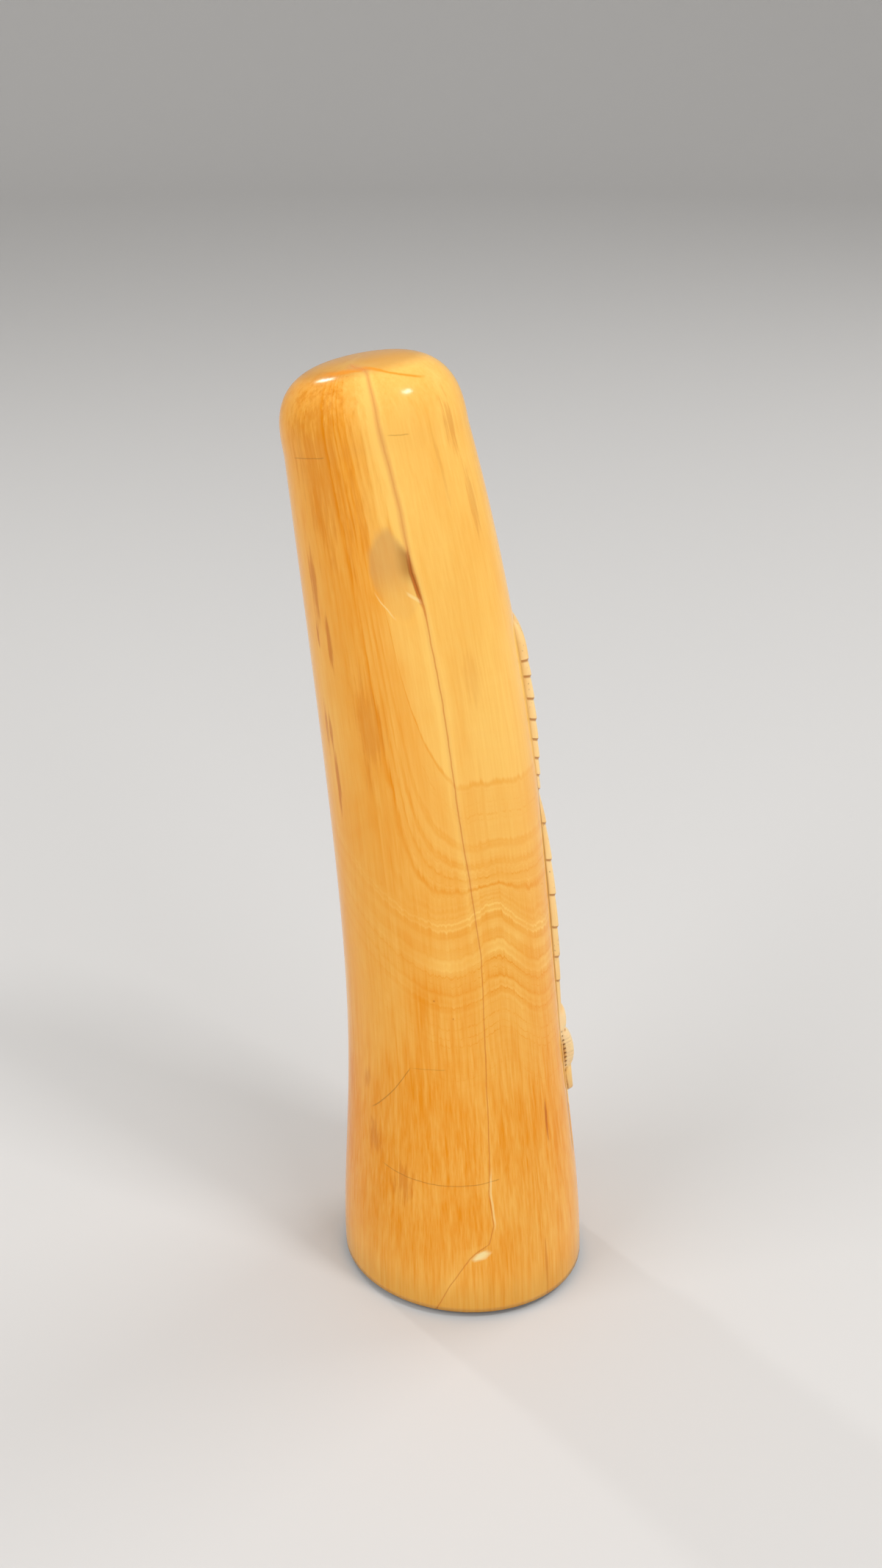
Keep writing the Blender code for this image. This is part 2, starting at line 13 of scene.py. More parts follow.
import bpy
import numpy as np
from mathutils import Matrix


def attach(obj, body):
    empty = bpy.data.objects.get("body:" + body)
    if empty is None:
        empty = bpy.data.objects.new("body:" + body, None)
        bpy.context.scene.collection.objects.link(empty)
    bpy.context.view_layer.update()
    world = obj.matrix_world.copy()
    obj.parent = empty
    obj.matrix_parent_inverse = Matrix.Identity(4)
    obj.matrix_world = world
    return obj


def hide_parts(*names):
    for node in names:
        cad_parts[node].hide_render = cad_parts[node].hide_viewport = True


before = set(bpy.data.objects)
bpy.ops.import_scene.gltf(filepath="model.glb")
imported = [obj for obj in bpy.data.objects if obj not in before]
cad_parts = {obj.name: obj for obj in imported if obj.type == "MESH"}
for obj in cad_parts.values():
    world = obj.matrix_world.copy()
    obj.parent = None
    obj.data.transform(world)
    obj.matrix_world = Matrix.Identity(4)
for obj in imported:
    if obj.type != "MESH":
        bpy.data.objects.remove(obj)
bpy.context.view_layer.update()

# The tusk
HEIGHT = 0.372
BASE_WIDTH = 0.1
WAIST_WIDTH = 0.0827
DEPTH_SHARE = 0.912
FLARE_LEVEL = 0.0862
TOP_NARROWING = 0.0216
NARROWING_POWER = 3.8
TOP_TILT = 0.0101
TOP_BEND = 0.0306
BEND_POWER = 2.47
LEVEL_BASE = 0.045
CROWN_HEIGHT = 0.028
CROWN_START = HEIGHT - CROWN_HEIGHT
CROWN_POWER = 2.88

# The carved panel, whose foot rises towards its edges
PANEL_ANGLE = 76
PANEL_BEVEL = 5.5
PANEL_FOOT = 0.054
FOOT_RISE = 0.021
FOOT_BEND = 3
FOOT_FADE = 0.004

# The wing's shoulder, which rises from the panel's edge towards the head
WING_TOP = 0.2737
SHOULDER_RISE = 0.01
SHOULDER_BEND = 1.3
SHOULDER_ROUND = 0.0115
SHOULDER_POWER = 1.4
SHOULDER_END = 0.3
SHOULDER_NOTCH = 0.2597

# The two tiers of wing feathers, from the shoulder down
COVERT_FIRST = 0.2541
COVERT_LAST = 0.211
COVERT_COURSES = 7
COVERT_ANGLE = 10
COVERT_SCALLOP = 0.0034
COVERT_SHOULDER = 0.003
COVERT_TAIL = 0.0006
COVERT_FALL = 2.2
FLIGHT_TOP = 0.2087
FLIGHT_FIRST = 0.1972
FLIGHT_LAST = 0.1307
FLIGHT_COURSES = 6
FLIGHT_ANGLE = 10
FLIGHT_SCALLOP = 0.0048
FLIGHT_THICK = 0.0026
FLIGHT_FALL = 0.0011
LEG_SHARE = 0.45
COURSE_CROWDING = 1.15
FEATHER_STEP = 0.0012
STEP_POWER = 1.5
FEATHER_CROWN = 0.001
FIRST_COURSE = 0.012
RUN_OUT = 0.012
WING_BODY = 0.002
BODY_START = 40
BODY_END = 60

# The feathers lie flatter on the flank, and the courses drop towards the front
FLANK_START = 50
FLANK_END = 62
FLANK_STEP = 0.0005
COURSE_DROP = 0.012
DROP_POWER = 0.7
DROP_FOOT = 0.082
DROP_LOW = 0.13
DROP_HIGH = 0.245

# The breast
WING_EDGE = 36
WING_EDGE_TUCK = 8
TUCK_SPREAD = 0.022
BREAST_ANGLE = 9
BREAST_SCALLOP = 0.0034
BREAST_STEP = 0.0011
BREAST_CROWN = 0.0007
BREAST_THICK = 0.0056
BREAST_LEVEL = 0.21
BREAST_SPREAD = 0.1
BREAST_FALL = 0.62
BREAST_FADE = 0.02
THROAT_SPACING = 0.0074
LEG_COURSES = 2
LEG_SPACING = 0.0062

# The head, with a valley round it
HEAD_LEVEL = 0.2985
HEAD_HALF_WIDTH = 0.027
HEAD_CROWN = 0.027
HEAD_CHIN = 0.032
HEAD_SQUARENESS = 2.3
HEAD_THICK = 0.0078
HEAD_EDGE = 0.002
HEAD_EDGE_ROUND = 0.06
HEAD_POWER = 0.65
NECK_SHARE = 0.55
NECK_WIDTH = 0.13
DISC_OFFSET = 0.0112
DISC_RISE = 0.001
DISC_RADIUS = 0.0125
DISC_HOLLOW = 0.0024
DISC_RIM = 0.0011
DISC_RIM_WIDTH = 0.14
EYE_RADIUS = 0.0046
EYE_HEIGHT = 0.0024
BEAK_TOP = 0.004
BEAK_LENGTH = 0.015
BEAK_WIDTH = 0.0066
BEAK_TAPER = 0.75
BEAK_BEND = 1.5
BEAK_ROUND = 0.6
BEAK_START = 0.25
BEAK_HEIGHT = 0.0034
BROW_START = 0.0045
BROW_RISE = 0.024
BROW_BEND = 0.8
BROW_REACH = 0.025
BROW_HEIGHT = 0.0022
BROW_WIDTH = 0.0032
BROW_LOW = 0.6
BROW_GAIN = 1.2
BROW_FADE = 0.7
FACE_FADE = 0.25
TUFT_SIDE = 0.012
TUFT_RISE = 0.015
TUFT_LEAN = 30
TUFT_LENGTH = 0.024
TUFT_WIDTH = 0.0088
TUFT_TAPER = 0.6
TUFT_HEIGHT = 0.0066
TUFT_TIP = 0.0026

# The perch, the feet and the tail
PERCH_LEVEL = 0.0985
PERCH_HALF = 0.009
PERCH_THICK = 0.0046
PERCH_WAVE = 0.0012
PERCH_WAVES = 5
PERCH_THINNING = 0.55
THIN_START = 40
THIN_END = 66
FEET_REACH = 0.022
KNOT_ANGLE = 68
KNOT_LEVEL = 0.0965
KNOT_RADIUS = 0.0085
KNOT_HEIGHT = 0.0022
BUD_LEVEL = 0.111
BUD_RADIUS = 0.006
BUD_HEIGHT = 0.0024
FOOT_OFFSET = 0.0115
FOOT_TOP = 0.1135
TOE_SPACING = 0.005
TOE_SPREAD = 0.45
TOE_WIDTH = 0.0044
TOE_LENGTH = 0.0215
TOE_HEIGHT = 0.0028
TOE_JOINTS = 3
JOINT_DEPTH = 0.14
CLAW_START = 0.62
CLAW_NARROWING = 0.72
TOE_RISE = 6
TAIL_END = 0.06
TAIL_ANGLE = 18
TAIL_NARROWING = 0.2
TAIL_CURVE = 0.006
TAIL_NOTCH = 0.0015
TAIL_THICK = 0.0028
TAIL_CROWN = 0.3
EDGE_ANGLE = 1.2
EDGE_RUN = 0.0006
HOLLOW_DEPTH = 0.0012
HOLLOW_FADE = 0.012
HOLLOW_LOW = 0.084
HOLLOW_HIGH = 0.092
LEAF_TOP = 0.093
LEAF_ANGLES = (31, 48.5, 66)
LEAF_LENGTHS = (0.025, 0.03, 0.0165)
LEAF_HALF_ANGLE = 8.6
LEAF_SHOULDER = 0.7
LEAF_THICK = 0.0026
LEAF_CREASE = 0.001
CREASE_WIDTH = 0.18
LEAF_MARGIN = 3

# Pupils, eyelids, and the rows of small feathers on the head
PUPIL_RADIUS = 0.0021
PUPIL_DEPTH = 0.0014
LID_RADIUS = 0.0059
LID_WIDTH = 0.0006
LID_HEIGHT = 0.0005
PLUME = 0.0042
PLUME_STEP = 0.0009
PLUME_CURVE = 0.45
PLUME_REACH = 1.6
PLUME_FALL = 0.55

# The polished ivory is chamfered along the lower part of the panel's edge
CHAMFER_ANGLE = 1.9
CHAMFER_DEPTH = 0.0004
CHAMFER_LEVELS = (0.05, 0.058, 0.185, 0.212)

# The long crack at the back, from the foot to the top rim
CRACK_TURNS = (173.5, 165.4, 155.5, 150.5, 146.2, 143.4, 144.8, 143.4, 141.5, 140, 142.2, 144.3, 144.7, 146.4,
               149.4, 149.6, 152, 151.5, 173)
CRACK_LEVELS = (0, 0.015, 0.029, 0.0327, 0.034, 0.043, 0.057, 0.076, 0.13, 0.158, 0.188, 0.215, 0.258, 0.292,
                0.304, 0.326, 0.354, 0.3695, 0.3716)
CRACK_HALF_WIDTH = 0.00012
CRACK_DEPTH = 0.00013
CRACK_FLARE = 1.8
CRACK_END = (0.3716, 0.3708)
CRACK_STEP = 0.001
SLOT_LEVEL = 0.3005
SLOT_REACH = 0.0085
SLOT_HALF_WIDTH = 0.0008
SLOT_DEPTH = 0.0016

# The spoon-shaped flake that is gone beside the crack, and the chips
FLAKE_TURN = 160.5
FLAKE_LEVEL = 0.302
FLAKE_BEARINGS = (-133, -119, -104, -94, -81, -65, -30, 9, 40, 70, 82, 94, 101, 122)
FLAKE_REACHES = (0.0124, 0.0138, 0.0157, 0.0151, 0.0127, 0.0096, 0.0079, 0.0082, 0.0103, 0.0157, 0.0191,
                 0.0196, 0.0158, 0.0125)
FLAKE_DEPTH = 0.0005
FLAKE_EDGE = 0.72
FLAKE_SPREAD = 0.012
CHIP_TURN = 149.8
CHIP_LEVEL = 0.0298
CHIP_HALF_WIDTH = 0.0048
CHIP_HALF_HEIGHT = 0.0025
CHIP_DEPTH = 0.0006
CHIP_SLANT = 0.35

# Notches and barbs that only the material shows, and one degree of turn on the surface
NOTCH_SPACING = 0.0019
BARB_SPACING = 0.00125
DEGREE_LENGTH = 0.00073

# The ivory's colours as the photograph shows them, from 0 to 255
DEEP_IVORY = (237, 146, 4)
PALE_IVORY = (255, 202, 104)

# The growth cones rise to the left of the crack, up to the peak's turn. The steep one edges the pale core.
# Each of the three curves has the turn where it starts, its height CONE_TURNS further on, and its power.
PEAK_TURN = 250
PEAK_ROUND = 22
PEAK_LIFT = 3.4
STEEP_CONE = 0.2268
CONE_TURNS = 44
LOW_CONE = (160, 0.021, 1.4)
HIGH_CONE = (143, 0.09, 1.5)
TOP_CONE = (143, 1.82629, 7.3)
CONES_STEEPEN = (0.176, STEEP_CONE)
CONES_LEVEL_OUT = (0.174, 0.192)
CONE_CREST = (131, 13, 0.006)
CONE_FALL = 0.011

# How finely the surface is divided
LIP = 0.0007
FINE_ROW = 0.00082
FOOT_ROW = 0.0021
PLAIN_ROW = 0.0013
CROWN_ROWS = 26
FOOT_ROUNDING = 0.0009
BREAST_COLUMN = 0.9
WING_COLUMN = 1
BACK_COLUMNS = 50
CRACK_SPOT = 145
CRACK_COLUMNS = (-0.003, -0.0018, -0.001, -0.0005, -0.00022, 0, 0.00022, 0.0005, 0.001, 0.0018, 0.003)
RECESS_REACH = 3


def unit(value):
    return np.clip(value, 0, 1)


def ease(low, high, value):
    """0 up to low, 1 from high, and smooth between. With low over high it falls instead."""
    share = unit((value - low) / (high - low))
    return share * share * (3 - 2 * share)


def bell(distance, spread):
    return np.exp(-((distance / spread) ** 2))


def mound(distance):
    """1 at distance 0, and 0 from distance 1."""
    return np.sqrt(unit(1 - distance * distance))


def tusk_radius(level):
    below = np.minimum(level, CROWN_START)
    radius = WAIST_WIDTH / 2 - TOP_NARROWING / 2 * (below / HEIGHT) ** NARROWING_POWER
    radius += (BASE_WIDTH - WAIST_WIDTH) / 2 * bell(below, FLARE_LEVEL)
    rise = unit((level - CROWN_START) / CROWN_HEIGHT)
    return radius * (1 - rise**CROWN_POWER) ** (1 / CROWN_POWER)


def surface_points(levels, angles, heights):
    """Points of the surface. Those of one level make a ring square to the axis."""
    starts = np.minimum(levels, CROWN_START)
    share = starts / HEIGHT
    slope = (TOP_TILT + TOP_BEND * BEND_POWER * share ** (BEND_POWER - 1)) / HEIGHT
    slope *= ease(0, LEVEL_BASE, starts)
    centre = TOP_TILT * share + TOP_BEND * share**BEND_POWER + slope * (levels - starts)
    stretch = np.hypot(1, slope)
    along = np.sin(np.radians(angles))
    across = np.cos(np.radians(angles))
    radius = tusk_radius(levels)
    slant = np.hypot(DEPTH_SHARE * along, across)
    side = radius * along + heights * DEPTH_SHARE * along / slant
    front = DEPTH_SHARE * radius * across + heights * across / slant
    return np.stack([centre - side / stretch, -front, levels + side * slope / stretch], axis=-1)


def courses(first, last, count):
    """The lower edges of a tier's courses, closer together towards the last."""
    left = np.linspace(1, 0, count) ** COURSE_CROWDING
    return list(last + (first - last) * left)


COVERTS = [SHOULDER_NOTCH] + courses(COVERT_FIRST, COVERT_LAST, COVERT_COURSES)
FLIGHTS = courses(FLIGHT_FIRST, FLIGHT_LAST, FLIGHT_COURSES)

# The breast has one course beside each short course of the wing, and two beside each long one
LONG_EDGES = COVERTS[-1:] + FLIGHTS
BREAST_EDGES = [COVERTS[0] + THROAT_SPACING] + COVERTS + FLIGHTS
BREAST_EDGES += [(high + low) / 2 for high, low in zip(LONG_EDGES, LONG_EDGES[1:])]
BREAST_EDGES += [FLIGHTS[-1] - LEG_SPACING * count for count in range(1, LEG_COURSES + 1)]
BREAST_EDGES.sort(reverse=True)

# Each course of the wing and the breast: its lower edge, the width of its feathers, and their scallop's depth
WING = [(edge, COVERT_ANGLE, COVERT_SCALLOP) for edge in COVERTS]
WING += [(edge, FLIGHT_ANGLE, FLIGHT_SCALLOP) for edge in FLIGHTS]
BREAST = [(edge, BREAST_ANGLE, BREAST_SCALLOP) for edge in BREAST_EDGES]


def place_in_course(level, tier):
    """The course that a level is in, counted down from 0, and how far down it, from 0 to 1."""
    edges = [edge for edge, _, _ in tier]
    tops = [edges[0] + FIRST_COURSE] + edges
    for number, (high, low) in enumerate(zip(tops, edges + [edges[-1] - RUN_OUT])):
        if level > low:
            return number, min(max((high - level) / (high - low), 0), 1)
    return len(edges), 1


def across_feather(spots, width, number):
    """Where each spot lies across its feather, from -1 to 1. Every other course is shifted by half."""
    return 2 * np.mod(spots / width + 0.5 * (number % 2), 1) - 1


def edge_rise(spots, tier, number):
    """How much a course's lower edge rises between its feathers' tips."""
    if not 0 <= number < len(tier):
        return np.zeros_like(spots)
    _, width, depth = tier[number]
    return depth * across_feather(spots, width, number) ** 2


def scallop(level, spots, tier):
    """How much a row of points rises between the feathers' tips."""
    number, share = place_in_course(level, tier)
    return (1 - share) * edge_rise(spots, tier, number - 1) + share * edge_rise(spots, tier, number)


def surface_angles(level, spots):
    """The angles of spots, which count evenly across the carving and follow the wing's edge."""
    edge = WING_EDGE - WING_EDGE_TUCK * bell(level - WING_TOP, TUCK_SPREAD)
    inner = spots * edge / WING_EDGE
    outer = edge + (spots - WING_EDGE) * (PANEL_ANGLE - edge) / (PANEL_ANGLE - WING_EDGE)
    return np.where(spots < WING_EDGE, inner, np.where(spots < PANEL_ANGLE, outer, spots))


def flank(spots):
    """0 on the front of the wing, and 1 near the panel's edge."""
    return ease(FLANK_START, FLANK_END, spots)


def row_shift(level, spots):
    """How far a row's points move up the tusk, to follow the feathers and the shoulder."""
    inside = unit((PANEL_ANGLE - spots) / PANEL_ANGLE)
    dropping = ease(DROP_FOOT, DROP_LOW, level) * ease(WING_TOP, DROP_HIGH, level)
    rising = ease(COVERT_FIRST, WING_TOP, level) * ease(SHOULDER_END, WING_TOP, level)
    shift = SHOULDER_RISE * inside**SHOULDER_BEND * rising
    shift -= COURSE_DROP * inside**DROP_POWER * dropping
    wing = scallop(level, spots - WING_EDGE, WING) * (1 - flank(spots))
    return np.where(spots < WING_EDGE, scallop(level, spots, BREAST), wing * (spots < PANEL_ANGLE)) + shift


def shoulder(level, top, span):
    """The round of a shoulder: 0 at its top and 1 from a span below it."""
    return mound(unit((level - top + span) / span)) ** SHOULDER_POWER


def wing_thickness(level):
    """How far the wing's outer edge stands over the tusk, at its feathers' tips."""
    if level > COVERT_LAST:
        fallen = max((SHOULDER_NOTCH - level) / (SHOULDER_NOTCH - COVERT_LAST), 0)
        return COVERT_SHOULDER - (COVERT_SHOULDER - COVERT_TAIL) * fallen**COVERT_FALL
    if level > FLIGHT_LAST:
        middle = (FLIGHT_FIRST + FLIGHT_LAST) / 2
        bow = FLIGHT_THICK - FLIGHT_FALL * ((level - middle) / (FLIGHT_FIRST - middle)) ** 2
        return bow * shoulder(level, FLIGHT_TOP, FLIGHT_TOP - FLIGHT_FIRST)
    return FLIGHT_THICK * LEG_SHARE * ease(PERCH_LEVEL, FLIGHT_LAST, level)


def wing_relief(level, spots):
    number, share = place_in_course(level, WING)
    _, width, _ = WING[min(number, len(WING) - 1)]
    stepped = number not in (0, COVERT_COURSES + 1, len(WING))
    step = (FEATHER_STEP + (FLANK_STEP - FEATHER_STEP) * flank(spots)) * stepped
    stood = np.maximum(wing_thickness(level) - step * (1 - share) ** STEP_POWER, 0)
    across = across_feather(spots - WING_EDGE, width, number)
    crown = FEATHER_CROWN * (1 - across**2) * share * (1 - flank(spots))
    body = WING_BODY * ease(BODY_END, BODY_START, spots) * ease(PERCH_LEVEL, FLIGHT_LAST, level)
    rounding = 1 - (1 - unit((PANEL_ANGLE - spots) / PANEL_BEVEL)) ** 2
    return (stood + crown) * rounding + body


def breast_relief(level, spots):
    number, share = place_in_course(level, BREAST)
    across = across_feather(spots, BREAST_ANGLE, number)
    swell = BREAST_THICK * bell(level - BREAST_LEVEL, BREAST_SPREAD)
    swell *= 1 - BREAST_FALL * (spots / WING_EDGE) ** 2
    feather = BREAST_CROWN * (1 - across**2) * share - BREAST_STEP * (1 - share) ** STEP_POWER
    inside = 0 < number < len(BREAST)
    return (swell + feather * inside) * ease(PERCH_LEVEL, PERCH_LEVEL + BREAST_FADE, level)


def head_reach(side, rises):
    """0 at the middle of the head and 1 at its outline."""
    half_height = np.where(rises > 0, HEAD_CROWN, HEAD_CHIN)
    total = (side / HEAD_HALF_WIDTH) ** HEAD_SQUARENESS + (np.abs(rises) / half_height) ** HEAD_SQUARENESS
    return total ** (1 / HEAD_SQUARENESS)


def tuft_relief(side, rises):
    """The ear tufts, each a tapered ridge from over the brow, up and outwards."""
    lean = math.radians(TUFT_LEAN)
    along = (side - TUFT_SIDE) * math.sin(lean) + (rises - TUFT_RISE) * math.cos(lean)
    aside = (side - TUFT_SIDE) * math.cos(lean) - (rises - TUFT_RISE) * math.sin(lean)
    left = np.clip(1 - along / TUFT_LENGTH, 0.001, 1)
    ridge = mound(aside / (TUFT_WIDTH / 2 * left**TUFT_TAPER))
    return (TUFT_TIP + (TUFT_HEIGHT - TUFT_TIP) * left) * ridge * (along > 0) * (left > 0.001)


def brow_distance(side, rises):
    """How far over the brow a place is, counted in the brow's widths."""
    out = unit(side / BROW_REACH)
    return (rises - BROW_START - BROW_RISE * out**BROW_BEND) / BROW_WIDTH


def head_relief(side, rises):
    """The head, at places so far to the side of its middle and so far up."""
    reach = head_reach(side, rises)
    skull = HEAD_EDGE * ease(0, HEAD_EDGE_ROUND, 1 - reach)
    skull += (HEAD_THICK - HEAD_EDGE) * unit(1 - reach**2) ** HEAD_POWER
    from_eye = np.hypot(side - DISC_OFFSET, rises - DISC_RISE) / DISC_RADIUS
    dish = DISC_RIM * bell(from_eye - 1, DISC_RIM_WIDTH)
    dish -= DISC_HOLLOW * unit(1 - from_eye**2)
    eye = EYE_HEIGHT * mound(from_eye * DISC_RADIUS / EYE_RADIUS)
    down = unit((BEAK_TOP - rises) / BEAK_LENGTH)
    half = BEAK_WIDTH / 2 * (1 - BEAK_TAPER * down**BEAK_BEND)
    beak = BEAK_HEIGHT * unit(1 - side / half) ** BEAK_ROUND
    beak *= ease(0, BEAK_START, down) * (down < 1)
    out = side / BROW_REACH
    brow = BROW_HEIGHT * bell(brow_distance(side, rises), 1) * (BROW_LOW + BROW_GAIN * out)
    brow *= ease(1, BROW_FADE, out)
    face = (dish + eye) * ease(0, FACE_FADE, 1 - reach)
    return np.maximum(skull + (face + beak + brow) * (reach < 1), tuft_relief(side, rises))


def perch_relief(level, angles):
    """The branch, with a knot and a bud at each end."""
    middle = PERCH_LEVEL + PERCH_WAVE * np.sin(np.radians(angles) * PERCH_WAVES)
    bough = PERCH_THICK * mound((level - middle) / PERCH_HALF)
    bough *= 1 - PERCH_THINNING * ease(THIN_START, THIN_END, angles)
    to_side = np.radians(angles - KNOT_ANGLE) * WAIST_WIDTH / 2
    knot = KNOT_HEIGHT * mound(np.hypot(to_side, level - KNOT_LEVEL) / KNOT_RADIUS)
    bud = BUD_HEIGHT * mound(np.hypot(to_side, level - BUD_LEVEL) / BUD_RADIUS)
    return np.maximum(bough + knot, bud) * ease(PANEL_ANGLE, PANEL_ANGLE - PANEL_BEVEL, angles)


def feet_relief(level, side):
    """Two feet of three jointed toes with claws, over the perch."""
    down = (FOOT_TOP - level) / TOE_LENGTH
    if not 0 < down < 1:
        return np.zeros_like(side)
    half = TOE_WIDTH / 2 * (1 - CLAW_NARROWING * ease(CLAW_START, 1, down))
    toes = np.zeros_like(side)
    for number in (-1, 0, 1):
        middle = FOOT_OFFSET + number * TOE_SPACING * (1 - TOE_SPREAD * (1 - down))
        toes = np.maximum(toes, TOE_HEIGHT * mound((side - middle) / half))
    joints = 1 - JOINT_DEPTH * (1 + math.cos(2 * math.pi * TOE_JOINTS * down))
    return toes * joints * min(down * TOE_RISE, 1)


def tail_relief(level, angles):
    narrowed = TAIL_NARROWING * (level - TAIL_END) / (PERCH_LEVEL - TAIL_END)
    half = TAIL_ANGLE * (1 - narrowed)
    across = across_feather(angles, TAIL_ANGLE / 2, 0)
    end = TAIL_END + TAIL_CURVE * (angles / TAIL_ANGLE) ** 2 + TAIL_NOTCH * across**2
    inside = ease(end - EDGE_RUN, end + EDGE_RUN, level) * ease(half, half - EDGE_ANGLE, angles)
    return TAIL_THICK * inside * (1 - TAIL_CROWN * across**2) * (level < PERCH_LEVEL)


def leaf_relief(level, angles):
    """Leaves that hang below the perch, each with a crease down its middle."""
    leaves = np.zeros_like(angles)
    for middle, length in zip(LEAF_ANGLES, LEAF_LENGTHS):
        down = (LEAF_TOP - level) / length
        if not 0 < down < 1:
            continue
        half = LEAF_HALF_ANGLE * (1 - down**3) * min(LEAF_SHOULDER + down, 1)
        across = unit(np.abs(angles - middle) / half)
        leaf = LEAF_THICK * (1 - across**4) - LEAF_CREASE * bell(across, CREASE_WIDTH)
        leaves = np.maximum(leaves, np.where(across < 1, leaf, 0))
    return leaves * ease(PANEL_ANGLE, PANEL_ANGLE - LEAF_MARGIN, angles)


def foot_line(spots):
    return PANEL_FOOT + FOOT_RISE * unit(spots / PANEL_ANGLE) ** FOOT_BEND


def hollow(levels, spots):
    """How far the ground behind the tail and the leaves is cut back."""
    foot = foot_line(spots)
    deep = ease(foot, foot + HOLLOW_FADE, levels) * ease(HOLLOW_HIGH, HOLLOW_LOW, levels)
    return HOLLOW_DEPTH * deep * ease(PANEL_ANGLE, THIN_START, spots)


def relief(level, spots, angles, levels):
    side = np.radians(angles) * tusk_radius(level)
    rises = levels - HEAD_LEVEL
    figure = np.where(spots < WING_EDGE, breast_relief(level, spots), wing_relief(level, spots))
    figure *= shoulder(level, WING_TOP, SHOULDER_ROUND)
    figure *= 1 - NECK_SHARE * bell(head_reach(side, rises) - 1, NECK_WIDTH)
    if level < PERCH_LEVEL + FEET_REACH:
        branch = perch_relief(levels, angles)
        branch = branch + feet_relief(level, side) * (branch > 0)
        hanging = np.maximum(tail_relief(level, angles), leaf_relief(level, angles))
        figure = np.maximum(np.maximum(figure, branch), hanging - hollow(levels, spots))
    head = head_relief(side, rises)
    figure = np.where(head > 0, np.maximum(figure, head), figure)
    foot = foot_line(spots)
    return figure * (spots < PANEL_ANGLE) * ease(foot, foot + FOOT_FADE, levels)


def small_feathers(side, rises):
    """Rows of small round feathers, as a height from 0 to 1."""
    row = np.floor(rises / PLUME)
    best = np.zeros_like(side)
    for upper in (1, 0):
        number = row + upper
        across = across_feather(side, PLUME, number)
        up = rises / PLUME - number + 1 - PLUME_CURVE * across**2
        best = np.where((up > 0) & (up < PLUME_REACH), 1 - PLUME_FALL * up, best)
    return best


def head_details(side, rises):
    """The pupils, the eyelids and the small feathers, too fine for the solid."""
    reach = head_reach(side, rises)
    from_eye = np.hypot(side - DISC_OFFSET, rises - DISC_RISE)
    plumage = small_feathers(side, rises) * ease(1.05, 1.2, from_eye / DISC_RADIUS) * ease(1, 0.9, reach)
    plumage *= 1 - bell(brow_distance(side, rises), 1)
    details = LID_HEIGHT * bell(from_eye - LID_RADIUS, LID_WIDTH) + PLUME_STEP * plumage
    details -= PUPIL_DEPTH * ease(PUPIL_RADIUS * 1.2, PUPIL_RADIUS * 0.6, from_eye)
    return details * (reach < 1)


def chamfer(levels, spots):
    """How deep the polished ivory is cut back beside the panel's edge."""
    low, full, high, gone = CHAMFER_LEVELS
    beside = unit(1 - (spots - PANEL_ANGLE) / CHAMFER_ANGLE) * (spots > PANEL_ANGLE)
    return CHAMFER_DEPTH * beside * ease(low, full, levels) * ease(gone, high, levels)


def crack_turn(level):
    return np.interp(level, CRACK_LEVELS, CRACK_TURNS)


def degree_width(level):
    return math.radians(1) * tusk_radius(np.minimum(level, CROWN_START))


def crack_fields(level, turns):
    """The signed distance from the crack, and the crack's half width and depth here."""
    low = level - CRACK_STEP
    high = level + CRACK_STEP
    sideways = (crack_turn(high) * degree_width(high) - crack_turn(low) * degree_width(low)) / (high - low)
    distance = (turns - crack_turn(level)) * degree_width(level) / np.hypot(1, sideways)
    slot = bell(level - SLOT_LEVEL, SLOT_REACH)
    width = CRACK_HALF_WIDTH + (SLOT_HALF_WIDTH - CRACK_HALF_WIDTH) * slot
    depth = CRACK_DEPTH + (SLOT_DEPTH - CRACK_DEPTH) * slot
    open_here = ease(*CRACK_END, level)
    return distance, width * open_here, depth * open_here


def flake_reach(level, turns):
    """0 at the middle of the flake and 1 at its rim."""
    rise = level - FLAKE_LEVEL
    aside = (turns - FLAKE_TURN) * degree_width(level)
    bearing = np.degrees(np.arctan2(rise, aside))
    return np.hypot(aside, rise) / np.interp(bearing, FLAKE_BEARINGS, FLAKE_REACHES, period=360)


def chip_reach(level, turns):
    """0 at the middle of the chip under the crack's bend, and 1 at its rim."""
    aside = (turns - CHIP_TURN) * degree_width(level)
    rise = level - CHIP_LEVEL + CHIP_SLANT * aside
    return np.hypot(aside / CHIP_HALF_WIDTH, rise / CHIP_HALF_HEIGHT)


def damage(level, turns):
    """How deep the crack, the flake and the chip go into the surface."""
    distance, width, depth = crack_fields(level, turns)
    lost = depth * unit(1 - np.abs(distance) / (width * CRACK_FLARE + 1e-6))
    flake = FLAKE_DEPTH * ease(1, FLAKE_EDGE, flake_reach(level, turns)) * ease(-0.0001, 0.0004, distance)
    flake *= 0.5 + 0.5 * ease(FLAKE_SPREAD, 0, distance)
    chip = CHIP_DEPTH * unit(1 - chip_reach(level, turns)) * (distance < 0.0003)
    return np.maximum(lost, np.maximum(flake, chip))


def cone_rise(value, turns):
    """How far a growth cone's edge rises to the left of the crack. The upper cones rise more steeply."""
    mirrored = PEAK_TURN + PEAK_LIFT - np.hypot(turns - PEAK_TURN, PEAK_ROUND)
    low, high, top = (height * (np.maximum(mirrored - start, 0) / CONE_TURNS) ** power
                      for start, height, power in (LOW_CONE, HIGH_CONE, TOP_CONE))
    upper = ease(*CONES_LEVEL_OUT, value)
    middle, spread, height = CONE_CREST
    crest = height * bell(turns - middle, spread) * (1 - upper)
    fall = CONE_FALL * ease(132, 97, turns) * ease(0, 60, turns) * (1 - 0.6 * upper)
    return low + ease(*CONES_STEEPEN, value) * (high + top - low) + crest - fall


